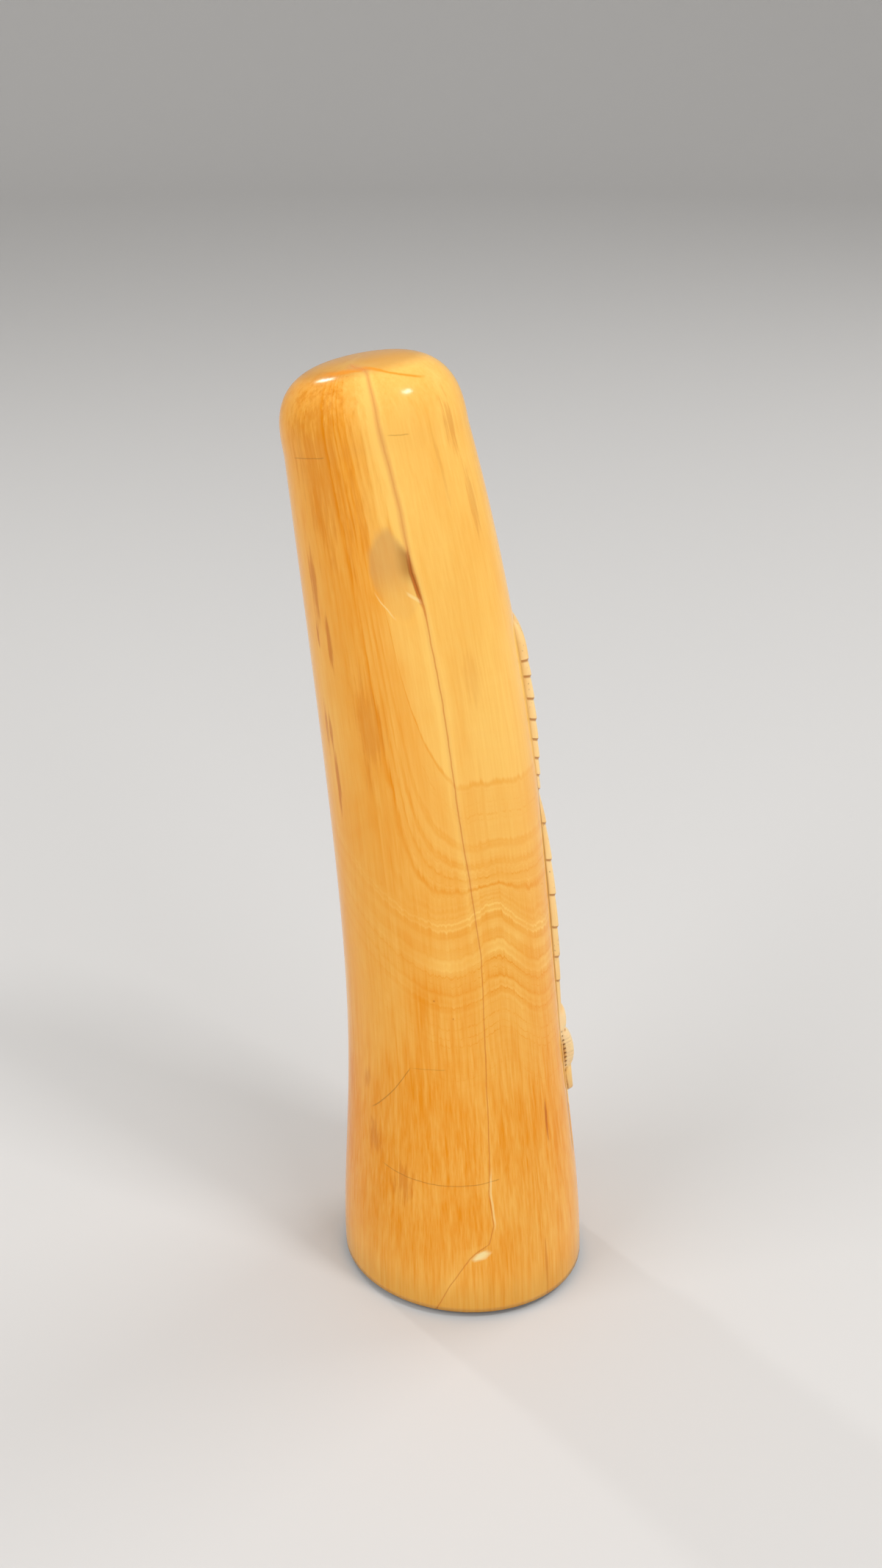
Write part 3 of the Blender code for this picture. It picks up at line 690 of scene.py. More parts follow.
def growth(levels, turns):
    """The growth cone that each place lies on, named by its level beside the crack."""
    low = np.zeros_like(levels)
    high = levels + 0.02
    for _ in range(22):
        middle = (low + high) / 2
        above = middle + cone_rise(middle, turns) > levels
        high = np.where(above, middle, high)
        low = np.where(above, low, middle)
    return (low + high) / 2


def steps_between(low, high, spacing):
    """Even steps from low up to, but not at, high."""
    count = max(round((high - low) / spacing), 1)
    return list(np.linspace(low, high, count, endpoint=False))


def row_levels():
    """The levels of all rows, with a close pair at each course's lower edge."""
    lips = sorted(edge + side * LIP / 2 for edge in BREAST_EDGES for side in (-1, 1))
    rows = steps_between(0, FOOT_ROUNDING, FOOT_ROUNDING / 3)
    rows += steps_between(FOOT_ROUNDING, PANEL_FOOT - 0.002, FOOT_ROW)
    rows += steps_between(PANEL_FOOT - 0.002, lips[0], FINE_ROW)
    for low, high in zip(lips, lips[1:]):
        rows += steps_between(low, high, FINE_ROW)
    head_top = HEAD_LEVEL + TUFT_RISE + TUFT_LENGTH
    rows += steps_between(lips[-1], head_top, FINE_ROW)
    rows += steps_between(head_top, CROWN_START, PLAIN_ROW)
    turns = np.linspace(0, math.pi / 2, CROWN_ROWS, endpoint=False)
    return rows + [CROWN_START + CROWN_HEIGHT * math.sin(turn) for turn in turns]


def front_spots():
    """The columns of half the front, out to just past the panel's edge."""
    breast = list(np.arange(0, WING_EDGE - 0.5, BREAST_COLUMN)) + [WING_EDGE - 0.2]
    wing = [WING_EDGE + 0.2] + list(np.arange(WING_EDGE + WING_COLUMN, PANEL_ANGLE - 0.9, WING_COLUMN))
    return breast + wing + [PANEL_ANGLE - 0.5, PANEL_ANGLE + 0.1, PANEL_ANGLE + 0.9, PANEL_ANGLE + 1.8]


def back_turns(level, start):
    """The columns round the back, with a close group along the crack."""
    reach = CRACK_COLUMNS[-1] / degree_width(level)
    crack = crack_turn(level)
    knots = (start, CRACK_SPOT - reach, CRACK_SPOT + reach, 360 - start)
    places = (start, crack - reach, crack + reach, 360 - start)
    even = np.linspace(start, 360 - start, BACK_COLUMNS + 2)[1:-1]
    even = even[np.abs(even - CRACK_SPOT) > CRACK_COLUMNS[-1] / degree_width(0.2) * 1.3]
    group = crack + np.array(CRACK_COLUMNS) / degree_width(level)
    spread = np.interp(even, knots, places)
    return np.concatenate([spread[even < CRACK_SPOT], group, spread[even > CRACK_SPOT]])


def foot_rounding(level):
    """How far the sawn foot's sharp edge is worn back."""
    share = 1 - min(level / FOOT_ROUNDING, 1)
    return FOOT_ROUNDING * (1 - math.sqrt(max(1 - share * share, 0)))


def sculpt():
    """Every point of the fine mesh, row by row."""
    front = np.array(front_spots())
    rows = []
    for level in row_levels():
        turns = np.concatenate([front, back_turns(level, front[-1]), 360 - front[:0:-1]])
        spots = np.minimum(turns, 360 - turns)
        angles = surface_angles(level, spots)
        levels = level + row_shift(level, spots)
        side = np.radians(angles) * tusk_radius(level)
        heights = relief(level, spots, angles, levels) + head_details(side, levels - HEAD_LEVEL)
        heights -= chamfer(levels, spots) + damage(level, turns) + foot_rounding(level)
        signed = np.where(turns > 180, -angles, angles)
        rows.append({"level": np.full_like(turns, level), "levels": levels, "turns": turns, "spots": spots,
                     "signed": signed, "heights": heights, "points": surface_points(levels, signed, heights)})
    return {name: np.stack([row[name] for row in rows]) for name in rows[0]}


def recess(heights):
    """How far each point lies under the average height around it."""
    total = np.zeros_like(heights)
    reach = range(-RECESS_REACH, RECESS_REACH + 1)
    for up in reach:
        moved = heights[np.clip(np.arange(len(heights)) + up, 0, len(heights) - 1)]
        for aside in reach:
            total += np.roll(moved, aside, axis=1)
    return total / len(reach) ** 2 - heights


def stacked(*parts):
    """Values spread to one shape and put side by side, as vectors."""
    return np.stack(np.broadcast_arrays(*parts), axis=-1)


def point_fields(grid):
    """The fields for each point, as vectors of three."""
    level, levels, turns, spots = (grid[name] for name in ("level", "levels", "turns", "spots"))
    around = np.radians(grid["signed"])
    radius = tusk_radius(level)
    side = np.abs(around) * radius
    rises = levels - HEAD_LEVEL
    head = np.maximum(ease(1.03, 0.99, head_reach(side, rises)), ease(0, 0.0008, tuft_relief(side, rises)))
    foot = foot_line(spots)
    panel = ease(PANEL_ANGLE + 0.1, PANEL_ANGLE - 0.6, spots) * ease(foot - 0.001, foot + 0.0012, levels)
    panel *= ease(WING_TOP + 0.001, WING_TOP - 0.0005, level)
    eye_side = side - DISC_OFFSET
    eye_up = rises - DISC_RISE
    return {
        "straight": stacked(-radius * np.sin(around), -radius * np.cos(around), levels),
        "place": stacked(turns, levels, (spots - PANEL_ANGLE) * degree_width(level)),
        "crack": stacked(*crack_fields(level, turns)),
        "marks": stacked(flake_reach(level, turns), chip_reach(level, turns), growth(levels, turns)),
        "carving": stacked(np.maximum(head, panel), recess(grid["heights"]), head),
        "eye": stacked(np.abs(np.arctan2(eye_up, eye_side)), np.hypot(eye_side, eye_up), side),
    }


def face_corners(low, high):
    """The values at the four corners of each face between two rows."""
    return np.stack([low, np.roll(low, -1), np.roll(high, -1), high], axis=-1)


def corner_field(grid):
    """For each corner of each face: how far it is across and down its feather, and how strong the lines are.

    Corners of one face share one feather, so the lines stop cleanly where feathers meet.
    """
    level = grid["level"][:, 0]
    spots = grid["spots"]
    angles = np.abs(grid["signed"])
    leaves = np.array(LEAF_ANGLES)
    corners = np.zeros((len(level) - 1, spots.shape[1], 4, 3))
    for row in range(len(corners)):
        middle = (level[row] + level[row + 1]) / 2
        ends = level[[row, row, row + 1, row + 1]]
        places = face_corners(spots[row], spots[row + 1])
        here = places[:, :2].mean(axis=1)
        for tier, start, chosen in ((BREAST, 0, here < WING_EDGE), (WING, WING_EDGE, here >= WING_EDGE)):
            number, _ = place_in_course(middle, tier)
            top = ([tier[0][0] + FIRST_COURSE] + [edge for edge, _, _ in tier])[number]
            width = tier[min(number, len(tier) - 1)][1]
            shift = 0.5 * (number % 2)
            index = np.floor((here[chosen] - start) / width + shift)[:, None]
            across = ((places[chosen] - start) / width + shift - index - 0.5) * width * degree_width(middle)
            lined = number > 0 and middle > PERCH_LEVEL + PERCH_HALF
            corners[row, chosen] = stacked(across, top - ends, lined)
        if middle < PERCH_LEVEL - PERCH_HALF:
            places = face_corners(angles[row], angles[row + 1])
            turned = places[:, :2].mean(axis=1)[:, None]
            leaf = leaves[np.argmin(np.abs(turned - leaves), axis=1)][:, None]
            feather = (np.floor(turned / (TAIL_ANGLE / 2)) + 0.5) * TAIL_ANGLE / 2
            across = (places - np.where(turned < TAIL_ANGLE, feather, leaf)) * degree_width(middle)
            lined = np.where(turned < TAIL_ANGLE, 1, 2) * (turned < PANEL_ANGLE - 1) * (middle > PANEL_FOOT)
            corners[row] = stacked(across, LEAF_TOP - ends, lined)
    return corners.reshape(-1, 3)


def ring_faces(rings, sides):
    """The numbers of the rings' points, and the four-sided faces between them."""
    index = np.arange(rings * sides).reshape(rings, sides)
    ahead = np.roll(index, -1, axis=1)
    return index, np.stack([index[:-1], ahead[:-1], ahead[1:], index[1:]], axis=-1).reshape(-1, 4).tolist()


def add_field(mesh, title, domain, values):
    field = mesh.attributes.new(title, "FLOAT_VECTOR", domain)
    field.data.foreach_set("vector", values.astype(np.float32).ravel())


def build_mesh(name):
    """The closed mesh: rings of faces, a fan at the top and one flat face below."""
    grid = sculpt()
    rows, columns = grid["spots"].shape
    index, faces = ring_faces(rows, columns)
    top = rows * columns
    fan = [(int(here), int(there), top) for here, there in zip(index[-1], np.roll(index[-1], -1))]
    points = np.vstack([grid["points"].reshape(-1, 3), surface_points(HEIGHT, 0, 0)])
    mesh = bpy.data.meshes.new(name)
    mesh.from_pydata(points.tolist(), [], faces + fan + [index[0][::-1].tolist()])
    for title, values in point_fields(grid).items():
        flat = values.reshape(-1, 3)
        add_field(mesh, title, "POINT", np.vstack([flat, flat[-columns:].mean(axis=0)]))
    blades = np.zeros((len(mesh.loops), 3))
    corners = corner_field(grid)
    blades[: len(corners)] = corners
    add_field(mesh, "blade", "CORNER", blades)
    mesh.shade_smooth()
    mesh.update()
    return mesh


class Value:
    """One output of a material's nodes, which adds, subtracts and multiplies like a number."""

    def __init__(self, make, socket):
        self.make = make
        self.socket = socket

    def __add__(self, other):
        return self.make.math("ADD", self, other)

    def __sub__(self, other):
        return self.make.math("SUBTRACT", self, other)

    def __rsub__(self, other):
        return self.make.math("SUBTRACT", other, self)

    def __mul__(self, other):
        return self.make.math("MULTIPLY", self, other)

    def __abs__(self):
        return self.make.math("ABSOLUTE", self)

    def larger(self, other):
        return self.make.math("MAXIMUM", self, other)

    __radd__ = __add__
    __rmul__ = __mul__

    def rise(self, low, high):
        """0 up to low, 1 from high, smooth between. With low over high it falls instead."""
        ends = (low, high, 0, 1) if low < high else (high, low, 1, 0)
        inputs = dict(zip(("From Min", "From Max", "To Min", "To Max"), ends), Value=self)
        return self.make.node("ShaderNodeMapRange", inputs, interpolation_type="SMOOTHSTEP")

    def band(self, middle, half, blur):
        """1 within half of the middle, falling to 0 over the blur."""
        return abs(self - middle).rise(half + blur, half)

    def waves(self, count):
        """A sine of the value, with so many radians to one unit."""
        return self.make.math("SINE", self * count)

    def painted(self, coats):
        """This colour under coats of paint, each with its shade and the share that it covers."""
        covered = self
        for shade, share in coats:
            paint = shade if isinstance(shade, Value) else colour(*shade)
            covered = self.make.mix(share, covered, paint)
        return covered


class Shading:
    """Makes the nodes of one material."""

    def __init__(self, name):
        self.material = bpy.data.materials.new(name)
        self.material.use_nodes = True
        self.tree = self.material.node_tree
        self.inputs = self.tree.nodes["Principled BSDF"].inputs

    def feed(self, value, socket):
        if isinstance(value, Value):
            self.tree.links.new(value.socket, socket)
        else:
            socket.default_value = value

    def node(self, kind, inputs, output=0, **settings):
        made = self.tree.nodes.new(kind)
        for name, setting in settings.items():
            setattr(made, name, setting)
        for name, value in inputs.items():
            self.feed(value, made.inputs[name])
        return Value(self, made.outputs[output])

    def finish(self, settings):
        """Feeds the shader's own sockets, which ends the material."""
        for name, value in settings.items():
            self.feed(value, self.inputs[name])
        return self.material

    def math(self, operation, first, second=0):
        return self.node("ShaderNodeMath", {0: first, 1: second}, operation=operation)

    def mix(self, share, first, second):
        return self.node("ShaderNodeMix", {0: share, 6: first, 7: second}, 2, data_type="RGBA")

    def read(self, name):
        return self.node("ShaderNodeAttribute", {}, "Vector", attribute_name=name)

    def field(self, name):
        """The three parts of one of the mesh's fields."""
        split = self.node("ShaderNodeSeparateXYZ", {"Vector": self.read(name)})
        return [Value(self, part) for part in split.socket.node.outputs]

    def noise(self, vector, detail, roughness, distortion=0):
        """Soft noise that swings round 0, by up to about 0.5."""
        inputs = {"Scale": 1, "Detail": detail, "Roughness": roughness, "Distortion": distortion}
        return self.node("ShaderNodeTexNoise", {"Vector": vector, **inputs}) - 0.5

    def grains(self, across, along, *settings):
        """Noise with so many grains to a metre across the tusk, and along it."""
        scaled = {0: self.read("straight"), 1: (across, across, along)}
        return self.noise(self.node("ShaderNodeVectorMath", scaled, operation="MULTIPLY"), *settings)

    def layers(self, place, count, seed, *settings):
        """Noise that changes with one value alone, with so many layers to a metre of it."""
        return self.noise(self.node("ShaderNodeCombineXYZ", {"X": place * count, "Y": seed}), *settings)


def colour(red, green, blue):
    """The light that a colour reflects. It is given as it looks on screen, from 0 to 255."""
    shares = [value / 255 for value in (red, green, blue)]
    lights = [((share + 0.055) / 1.055) ** 2.4 if share > 0.04045 else share / 12.92 for share in shares]
    return (*lights, 1)


# Soft clouds of the polished ivory: turn, level, half width in degrees, half height, and how much paler
CLOUDS = (
    (190, 0.34, 27, 0.044, -0.26),
    (190, 0.29, 20, 0.034, -0.08),
    (184, 0.252, 9, 0.022, -0.12),
    (190, 0.226, 13, 0.034, -0.12),
    (176, 0.212, 7, 0.018, -0.08),
    (171, 0.143, 9, 0.012, -0.22),
    (170, 0.118, 10, 0.016, -0.14),
    (115, 0.08, 26, 0.024, -0.18),
    (228, 0.086, 10, 0.036, -0.08),
    (157, 0.158, 15, 0.006, 0.26),
    (122, 0.163, 16, 0.004, 0.16),
    (137, 0.054, 8, 0.012, 0.16),
    (150, 0.104, 7, 0.008, 0.1),
    (110, 0.24, 22, 0.05, 0.08),
)
# Brown stains, in the same way, and how strong. One wide patch over the upper back is painted shade.
STAINS_AND_SHADE = (
    (107.3, 0.078, 1, 0.0115, 0.75),
    (115.2, 0.019, 0.7, 0.015, 0.35),
    (206.5, 0.281, 2.4, 0.011, 0.56),
    (217.8, 0.282, 1.2, 0.006, 0.62),
    (214, 0.3, 3, 0.017, 0.5),
    (221.5, 0.248, 1.8, 0.012, 0.52),
    (216.8, 0.246, 1.8, 0.008, 0.52),
    (215.5, 0.227, 2.2, 0.013, 0.56),
    (187, 0.247, 9, 0.018, 0.22),
    # Painted shade over the upper back, not a stain
    (192, 0.342, 24, 0.03, 0.2),
    (104, 0.348, 5, 0.01, 0.3),
    (99, 0.324, 4, 0.012, 0.26),
    (206, 0.075, 4.5, 0.008, 0.32),
    (188, 0.0595, 6, 0.009, 0.3),
    (212, 0.1, 3.5, 0.006, 0.3),
    (126, 0.265, 6, 0.009, 0.09),
    (166.9, 0.1426, 0.7, 0.0006, 0.6),
    (157.3, 0.135, 0.5, 0.0005, 0.6),
    (119, 0.333, 1.4, 0.012, 0.16),
)
# Hairlines: the turns of their ends, the level at the first end, slope and curve per degree, and how strong
HAIRLINES = (
    (182, 209, 0.1125, -0.00125, 0.0000125, 0.5),
    (139, 201, 0.0637, -0.00014, 0.0000027, 0.42),
    (163, 182, 0.1132, -0.00004, 0, 0.22),
    (135, 149, 0.3481, 0.0001, 0, 0.34),
    (189, 217, 0.3451, 0, 0, 0.34),
)
# Growth bands: the growth cone, half width, blur, and how much paler
BANDS = (
    (0.1738, 0.0001, 0.0007, 0.38),
    (0.1715, 0.0001, 0.0006, 0.3),
    (0.1692, 0.0008, 0.0014, -0.24),
    (0.1615, 0.0012, 0.0024, -0.18),
    (0.1565, 0.0012, 0.0022, 0.16),
    (0.152, 0.0001, 0.0006, -0.36),
    (0.15, 0.001, 0.003, -0.1),
    (0.179, 0.0003, 0.001, -0.12),
    (STEEP_CONE - 0.0006, 0.0002, 0.0016, -0.42),
    (0.166, 0.002, 0.003, 0.1),
    (0.145, 0.0004, 0.0012, -0.2),
    (0.1385, 0.0006, 0.0016, -0.16),
    (0.1855, 0.0004, 0.0012, -0.3),
    (0.1905, 0.0003, 0.001, -0.22),
    (0.1955, 0.0004, 0.0012, -0.28),
    (0.2025, 0.0006, 0.0016, -0.22),
)


def read_surface(make):
    """The mesh's fields, and the noises that all parts of the ivory share."""
    at = types.SimpleNamespace()
    at.turn, at.level, at.border = make.field("place")
    at.crack, at.crack_width, _ = make.field("crack")
    at.flake, at.chip, at.cones = make.field("marks")
    at.carved, at.groove, at.head = make.field("carving")
    at.around_eye, at.from_eye, at.from_middle = make.field("eye")
    at.across, at.down, at.lines = make.field("blade")
    at.hair = make.grains(1500, 34, 2, 0.6)
    at.fine = make.grains(640, 20, 3, 0.6)
    at.wide = make.grains(210, 9, 3, 0.6)
    at.clouds = make.grains(60, 26, 3, 0.55, 0.5)
    at.wobble = make.grains(160, 90, 3, 0.6)
    at.speckle = make.grains(900, 700, 2, 0.6)
    at.wood = make.grains(60, 1500, 3, 0.6)
    return at


def spot_reach(make, at, turn, level, half_width, half_height):
    """0 at the middle of a cloud or stain and 1 at its rim."""
    aside = (at.turn - turn) * (1 / half_width)
    rise = (at.level - level) * (1 / half_height)
    return make.math("SQRT", aside * aside + rise * rise)


def paleness(make, at):
    """How pale the polished ivory is, from deep orange at 0 to pale gold at 1."""
    upper = at.level.rise(0.15, 0.23)
    lower = at.level.rise(0.18, 0.08)
    right_side = at.turn.rise(182, 140) * at.turn.rise(0, 60)
    near_foot = at.level.rise(0.128, 0.096) * at.level.rise(0.012, 0.04)
    middle = at.cones.rise(0.1, 0.15) * at.cones.rise(0.222, 0.19)
    cone = at.cones + at.wobble * 0.0026 + at.fine * 0.0038 + at.hair * 0.001
    grain = at.wide * 0.42 + at.fine * 1.15 + at.hair * 0.9
    # The upper right side is paler: partly the ivory's own tone, partly painted light on the side the lamps
    # light more
    pale = 0.42 + cone.rise(0.2235, 0.2275) * 0.16 + upper * right_side * 0.22
    pale += grain * (lower * 0.44 + 0.34) + at.clouds * 0.5 + middle * 0.07
    pale += near_foot * at.turn.rise(125, 155) * -0.14 + near_foot * -0.04
    for *spot, change in CLOUDS:
        pale += (spot_reach(make, at, *spot) + at.fine * 0.9 + at.wide * 0.9).rise(1.6, 0) * change

    # The growth bands that the polish cuts, clearest in the middle of the tusk
    towards_crack = at.turn.rise(205, 168) * 0.58 + 0.42
    patchy = at.clouds.rise(-0.15, 0.15) * 0.6 + 0.4
    clearness = (middle * (right_side * 0.2 + 0.34) + 0.08) * patchy
    pale += make.layers(cone, 520, 3.7, 2, 0.6) * clearness * towards_crack
    broken = at.fine.rise(-0.1, 0.12) * at.cones.rise(0.095, 0.125) * at.cones.rise(0.232, 0.205)
    rungs = make.layers(cone, 900, 8.1, 1, 0.5).rise(0.05, 0.18)
    pale += rungs * broken * (right_side * 0.7 + 0.3) * -0.3
    for place, half, blur, change in BANDS:
        pale += cone.band(place, half, blur) * patchy * towards_crack * change
    pale += at.turn.band(157, 5, 1.4) * at.level.rise(0.314, 0.326) * 0.14
    pale += at.level.rise(0.369, 0.3712) * (0.6 - pale)
    return pale + at.crack.band(0.0004, 0.0004, 0.004) * (upper * 0.14 + 0.12)


def polish_coats(make, at):
    """The stains and hairlines of the polished ivory, its top darkened by painted shade, its worn foot, and
    the top's crease.
    """
    coats = []
    for *spot, strength in STAINS_AND_SHADE:
        ragged = spot_reach(make, at, *spot) + at.fine * 3 + at.wobble * 1.2
        coats.append(((190, 92, 4), ragged.rise(1.2, 0.3) * strength))
    for first, last, start, slope, curve, strength in HAIRLINES:
        along = at.turn - first
        off = at.level - (along * slope + along * along * curve + start) + at.wobble * 0.0008
        steepness = math.hypot(1, (slope + curve * (last - first)) / DEGREE_LENGTH)
        within = at.turn.rise(first - 0.5, first + 1.5) * at.turn.rise(last + 0.5, last - 4)
        coats.append(((150, 88, 26), (off * (1 / steepness)).band(0, 0.00004, 0.0003) * within * strength))
    crease = at.level - 0.3698 + at.turn.rise(152, 105) * 0.0058 + at.wobble * 0.001
    crease_ends = at.turn.rise(104, 118) * at.turn.rise(214, 180)
    return coats + [
        # Painted shade that darkens the top end
        ((190, 134, 54), at.level.rise(0.3672, 0.3702) * 0.55),
        ((208, 156, 66), (at.level + at.wide * 0.012).rise(0.022, 0.004) * 0.4),
        ((238, 146, 14), crease.band(0, 0.0001, 0.0006) * crease_ends * 0.8),
    ]


def damage_coats(at):
    """The flake, the open slot, the rims of both, the chip at the foot, and the long crack."""
    in_flake = (at.flake + at.wobble * 0.2).rise(1.02, 0.78) * at.crack.rise(-0.0002, 0.0003)
    # Painted shade in the flake's deep part beside the crack
    shade = in_flake * at.crack.rise(0.006, 0.0006) * at.level.band(0.308, 0.002, 0.007)
    # Painted shade deep in the open slot
    slot = at.crack.band(0.0004, 0.0003, 0.0007) * at.level.band(0.302, 0.005, 0.006)
    rim = at.flake.band(0.965, 0.008, 0.04) * at.level.rise(0.3, 0.296)
    rim *= at.turn.rise(161, 165) * at.wide.rise(-0.2, 0.1)
    wedge = (at.level - 0.2935 + at.crack * -0.9).band(0, 0.0003, 0.0009)
    wedge *= at.crack.band(0.002, 0.0014, 0.0012) * at.level.rise(0.288, 0.291)
    crooked = at.crack + at.wobble * 0.0011
    there = at.crack_width.rise(0, 0.0001)
    soft_part = at.level.rise(0.29, 0.32)
    softness = at.level.rise(0.15, 0.2) * 0.45 + soft_part * 0.55
    at.line = (abs(crooked) - at.crack_width).rise(0.00024, -0.00005) * there
    lip = crooked.band(-0.0007, 0.0001, 0.0005) * at.level.band(0.055, 0.008, 0.008)
    return [
        ((208, 156, 92), in_flake * (at.level.rise(0.294, 0.308) * 0.42 + 0.16)),
        ((158, 98, 24), shade * 0.62),
        ((150, 78, 10), slot * 0.75),
        ((252, 220, 150), rim.larger(wedge) * 0.6),
        # The chip's pale patch is a painted highlight
        ((255, 232, 168), at.chip.rise(1.05, 0.45) * at.crack.rise(0.0004, -0.0002) * 0.9),
        ((218, 146, 78), crooked.band(0, 0.0002, 0.0015) * softness * there * 0.5),
        ((200, 100, 12), at.line * (0.46 - soft_part * 0.3)),
        ((255, 226, 160), lip * 0.5),
    ]


def carving_coats(make, at):
    """The carving's dirt and wear, its eyes, the lines of its feathers, and painted shadow under their edges.
    """
    at.on_perch = at.level.band(PERCH_LEVEL, 0.0065, 0.0015) * at.from_middle.rise(0.0185, 0.0205)
    bulge = at.level.band(0.103, 0.01, 0.005) * at.border.rise(-0.018, -0.009) * 0.55
    pupil = at.from_eye.rise(PUPIL_RADIUS * 1.15, PUPIL_RADIUS * 0.85)
    eye_ring = at.from_eye.band(EYE_RADIUS + 0.0002, 0.0001, 0.0004)
    at.on_feathers = at.lines.rise(0.4, 0.6) * (1 - at.head) * at.carved
    # Painted shadow under each feather's lower edge: darker brown on the front, lighter brown near the
    # panel's edge
    lip_shadow_colour = make.mix(at.border.rise(-0.016, -0.006), colour(118, 66, 18), colour(172, 104, 36))
    painted_shadow_under_lip = at.down.rise(0.0009, 0.0002) * at.on_feathers * at.lines.rise(1.6, 1.4)
    at.off_edge = at.border.rise(-0.005, -0.009)
    at.shaft = at.across.band(0, 0.00012, 0.0004) * at.on_feathers * at.off_edge
    at.notches = at.border.band(-0.0012, 0.0002, 0.0004) * at.level.band(0.099, 0.0085, 0.0005)
    at.notches *= at.level.waves(2 * math.pi / NOTCH_SPACING).rise(0.2, 0.7)
    return [
        ((236, 172, 78), at.clouds.rise(0, 0.22) * 0.4),
        ((150, 92, 36), at.speckle.rise(0.16, 0.22) * 0.5),
        ((186, 124, 54), at.wood.rise(0.04, 0.16) * at.on_perch * 0.55),
        ((216, 146, 56), at.groove.rise(0.0001, 0.0006) * 0.9),
        ((124, 68, 16), at.groove.rise(0.0003, 0.0009) * 0.85),
        ((255, 230, 184), bulge * at.groove.rise(0.0006, 0.0001)),
        ((92, 52, 18), pupil.larger(eye_ring) * at.head * 0.75),
        (lip_shadow_colour, painted_shadow_under_lip * 0.78),
        ((190, 128, 56), at.shaft * 0.3),
        ((120, 70, 20), at.notches * 0.8),
    ]


def border_coats(at):
    """The lines along the panel's border, which is bevelled in its lower part, and painted shade on that
    bevel.
    """
    start = at.level.rise(0.05, 0.056)
    low_part = start * at.level.rise(0.214, 0.204)
    on_panel = start * at.level.rise(0.276, 0.27)
    at.edge_line = at.border.band(0, 0.00005, 0.0003) * on_panel * (low_part * 0.25 + 0.25)
    return [
        # Painted shade on the bevel beside the panel's edge, grey beige
        ((206, 176, 128), at.border.band(0.0007, 0.0006, 0.0003) * (low_part * 0.45 + on_panel * 0.2)),
        ((170, 118, 56), at.border.band(0.0015, 0.00003, 0.00025) * low_part * 0.35),
        ((132, 84, 36), at.edge_line),
    ]


def fine_relief(at):
    """Relief that is finer than the mesh, in millimetres."""
    barbs = (at.down - abs(at.across) * 0.8).waves(2 * math.pi / BARB_SPACING) * at.on_feathers * at.off_edge
    rays = at.around_eye.waves(22) * at.from_eye.rise(0.0058, 0.007) * at.from_eye.rise(0.0128, 0.0115)
    height = barbs * 0.1 + at.shaft * 0.3 + rays * at.head * 0.12 + at.fine * 0.012
    height += at.speckle.rise(0.12, 0.22) * at.carved * -0.1 + at.wood * at.on_perch * at.carved * 0.5
    return height + at.line * -0.05 + at.edge_line * -0.1 + at.notches * -0.3


def ivory():
    """The one material, of polished ivory and carved ivory."""
    make = Shading("aged_ivory")
    at = read_surface(make)
    base = make.mix(paleness(make, at), colour(*DEEP_IVORY), colour(*PALE_IVORY))
    base = base.painted(polish_coats(make, at) + damage_coats(at))
    cream = make.mix(at.wide.rise(-0.2, 0.2), colour(246, 196, 118), colour(255, 214, 146))
    base = make.mix(at.carved, base, cream.painted(carving_coats(make, at)))
    colours = base.painted(border_coats(at))
    bump = {"Height": fine_relief(at), "Distance": 0.001, "Strength": 1}
    rough = 0.16 + at.carved * 0.22 + at.wide * 0.1 + at.groove.rise(0, 0.0006) * 0.2 + at.line * 0.3
    return make.finish({
        "Base Color": colours,
        "Normal": make.node("ShaderNodeBump", bump),
        "Roughness": rough,
        "Specular IOR Level": 0.22,
        "Subsurface Weight": 0.08,
        "Subsurface Radius": (1, 0.45, 0.15),
        "Subsurface Scale": 0.003,
    })


def put(name, data):
    """Makes an object of a mesh, light or camera, and puts it in the scene."""
    item = bpy.data.objects.new(name, data)
    bpy.context.scene.collection.objects.link(item)
    return item


def show(name, mesh, material):
    mesh.materials.append(material)
    return put(name, mesh)


# The studio
FLOOR_RADIUS = 3
COVE_RADIUS = 1
WALL_HEIGHT = 2.6
STUDIO_SIDES = 96
FLOOR_LOOK = {"Base Color": (0.66, 0.65, 0.64, 1), "Roughness": 0.7}
COVE_STEPS = 12


def studio_mesh():
    """A round pale floor that curves up into a wall all round."""
    profile = [(0.25, 0), (1, 0), (FLOOR_RADIUS, 0)]
    for turn in np.linspace(0, math.pi / 2, COVE_STEPS + 1)[1:]:
        profile.append((FLOOR_RADIUS + COVE_RADIUS * math.sin(turn), COVE_RADIUS * (1 - math.cos(turn))))
    profile.append((FLOOR_RADIUS + COVE_RADIUS, WALL_HEIGHT))
    turns = -2 * math.pi / STUDIO_SIDES * np.arange(STUDIO_SIDES)
    points = [(reach * math.cos(turn), reach * math.sin(turn), rise)
              for reach, rise in profile for turn in turns]
    index, faces = ring_faces(len(profile), STUDIO_SIDES)
    mesh = bpy.data.meshes.new("studio_floor")
    mesh.from_pydata(points, [], faces + [index[0][::-1].tolist()])
    mesh.shade_smooth()
    return mesh


# The lights, each by its azimuth, height over the floor's horizon, distance, width, height and power
LIGHTS = (
    ("key_light", 257.3, 57.4, 2.165, 0.36, 0.26, 11.5),
    ("rim_light", 63.2, 43.4, 1.66, 0.08, 0.26, 2.8),
    ("fill_light", 146, 36, 2.2, 1.4, 1, 18),
    ("right_fill", 240, 30, 2.2, 1, 1, 11.5),
    ("front_light", 325, 36, 2.2, 1.1, 1.1, 12),
)
LIGHT_TARGET = (0.012, 0, 0.15)
# Only lights narrower than this show as highlights in the polish
MIRRORED_WIDTH = 0.5
WORLD_COLOUR = (1, 0.99, 0.97, 1)
WORLD_STRENGTH = 0.52


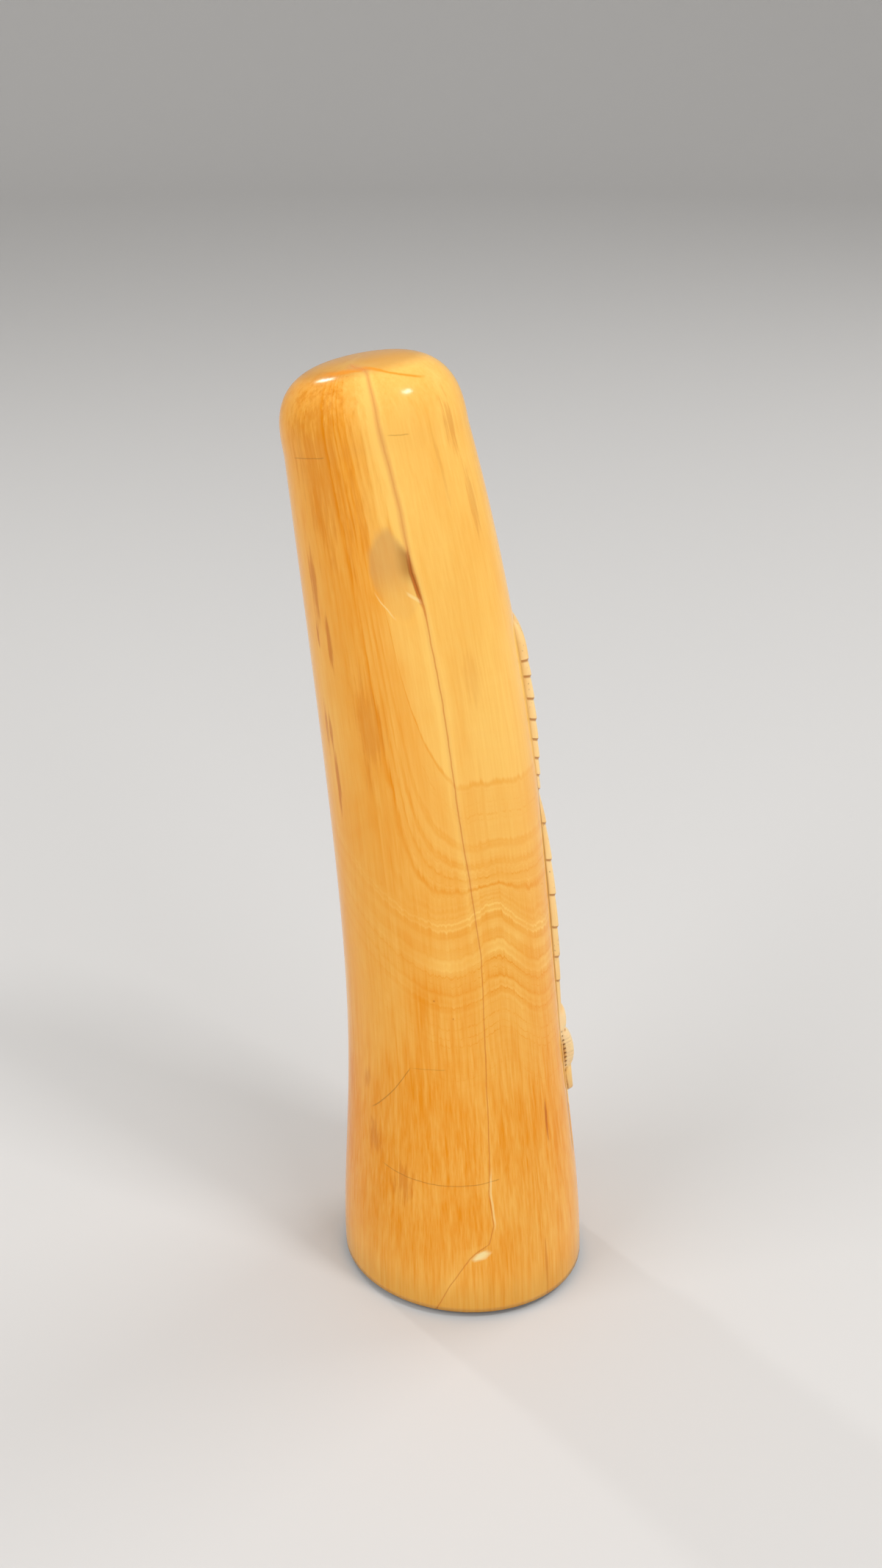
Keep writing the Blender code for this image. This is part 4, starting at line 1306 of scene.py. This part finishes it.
def direction(azimuth, elevation):
    turn = math.radians(azimuth)
    rise = math.radians(elevation)
    return np.array([math.sin(turn) * math.cos(rise), -math.cos(turn) * math.cos(rise), math.sin(rise)])


def aim(item, place, heading):
    """Puts a light or camera in its place, looking along the heading with its top up."""
    back = -heading / np.linalg.norm(heading)
    right = np.cross((0, 0, 1), back)
    right /= np.linalg.norm(right)
    axes = (right, np.cross(back, right), back)
    item.matrix_world = [[*axis, 0] for axis in axes] + [[*place, 1]]


def light_up():
    for name, azimuth, elevation, distance, width, height, power in LIGHTS:
        lamp = bpy.data.lights.new(name, "AREA")
        lamp.shape = "RECTANGLE"
        lamp.size = width
        lamp.size_y = height
        lamp.energy = power
        item = put(name, lamp)
        item.visible_glossy = width < MIRRORED_WIDTH
        outwards = direction(azimuth, elevation)
        aim(item, LIGHT_TARGET + outwards * distance, -outwards)
    world = bpy.data.worlds.new("studio_air")
    world.use_nodes = True
    air = world.node_tree.nodes["Background"].inputs
    air["Color"].default_value = WORLD_COLOUR
    air["Strength"].default_value = WORLD_STRENGTH
    bpy.context.scene.world = world


# The camera, where the photograph was taken from
CAMERA_AZIMUTH = 202
CAMERA_DISTANCE = 0.6117
CAMERA_HEIGHT = 0.5159
CAMERA_YAW = 0.86
CAMERA_PITCH = 26.1
CAMERA_LENS = 42


def set_camera():
    lens = bpy.data.cameras.new("photo_camera")
    lens.lens = CAMERA_LENS
    lens.clip_start = 0.01
    camera = put("photo_camera", lens)
    place = direction(CAMERA_AZIMUTH, 0) * CAMERA_DISTANCE + (0, 0, CAMERA_HEIGHT)
    aim(camera, place, -direction(CAMERA_AZIMUTH + CAMERA_YAW, CAMERA_PITCH))
    bpy.context.scene.camera = camera


set_camera()
tusk = show("ivory_tusk", build_mesh("ivory_tusk"), ivory())
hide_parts("carved_tusk")
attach(tusk, "root")
floor = show("studio_floor", studio_mesh(), Shading("pale_floor").finish(FLOOR_LOOK))
light_up()
bpy.context.scene.view_settings.view_transform = "Standard"
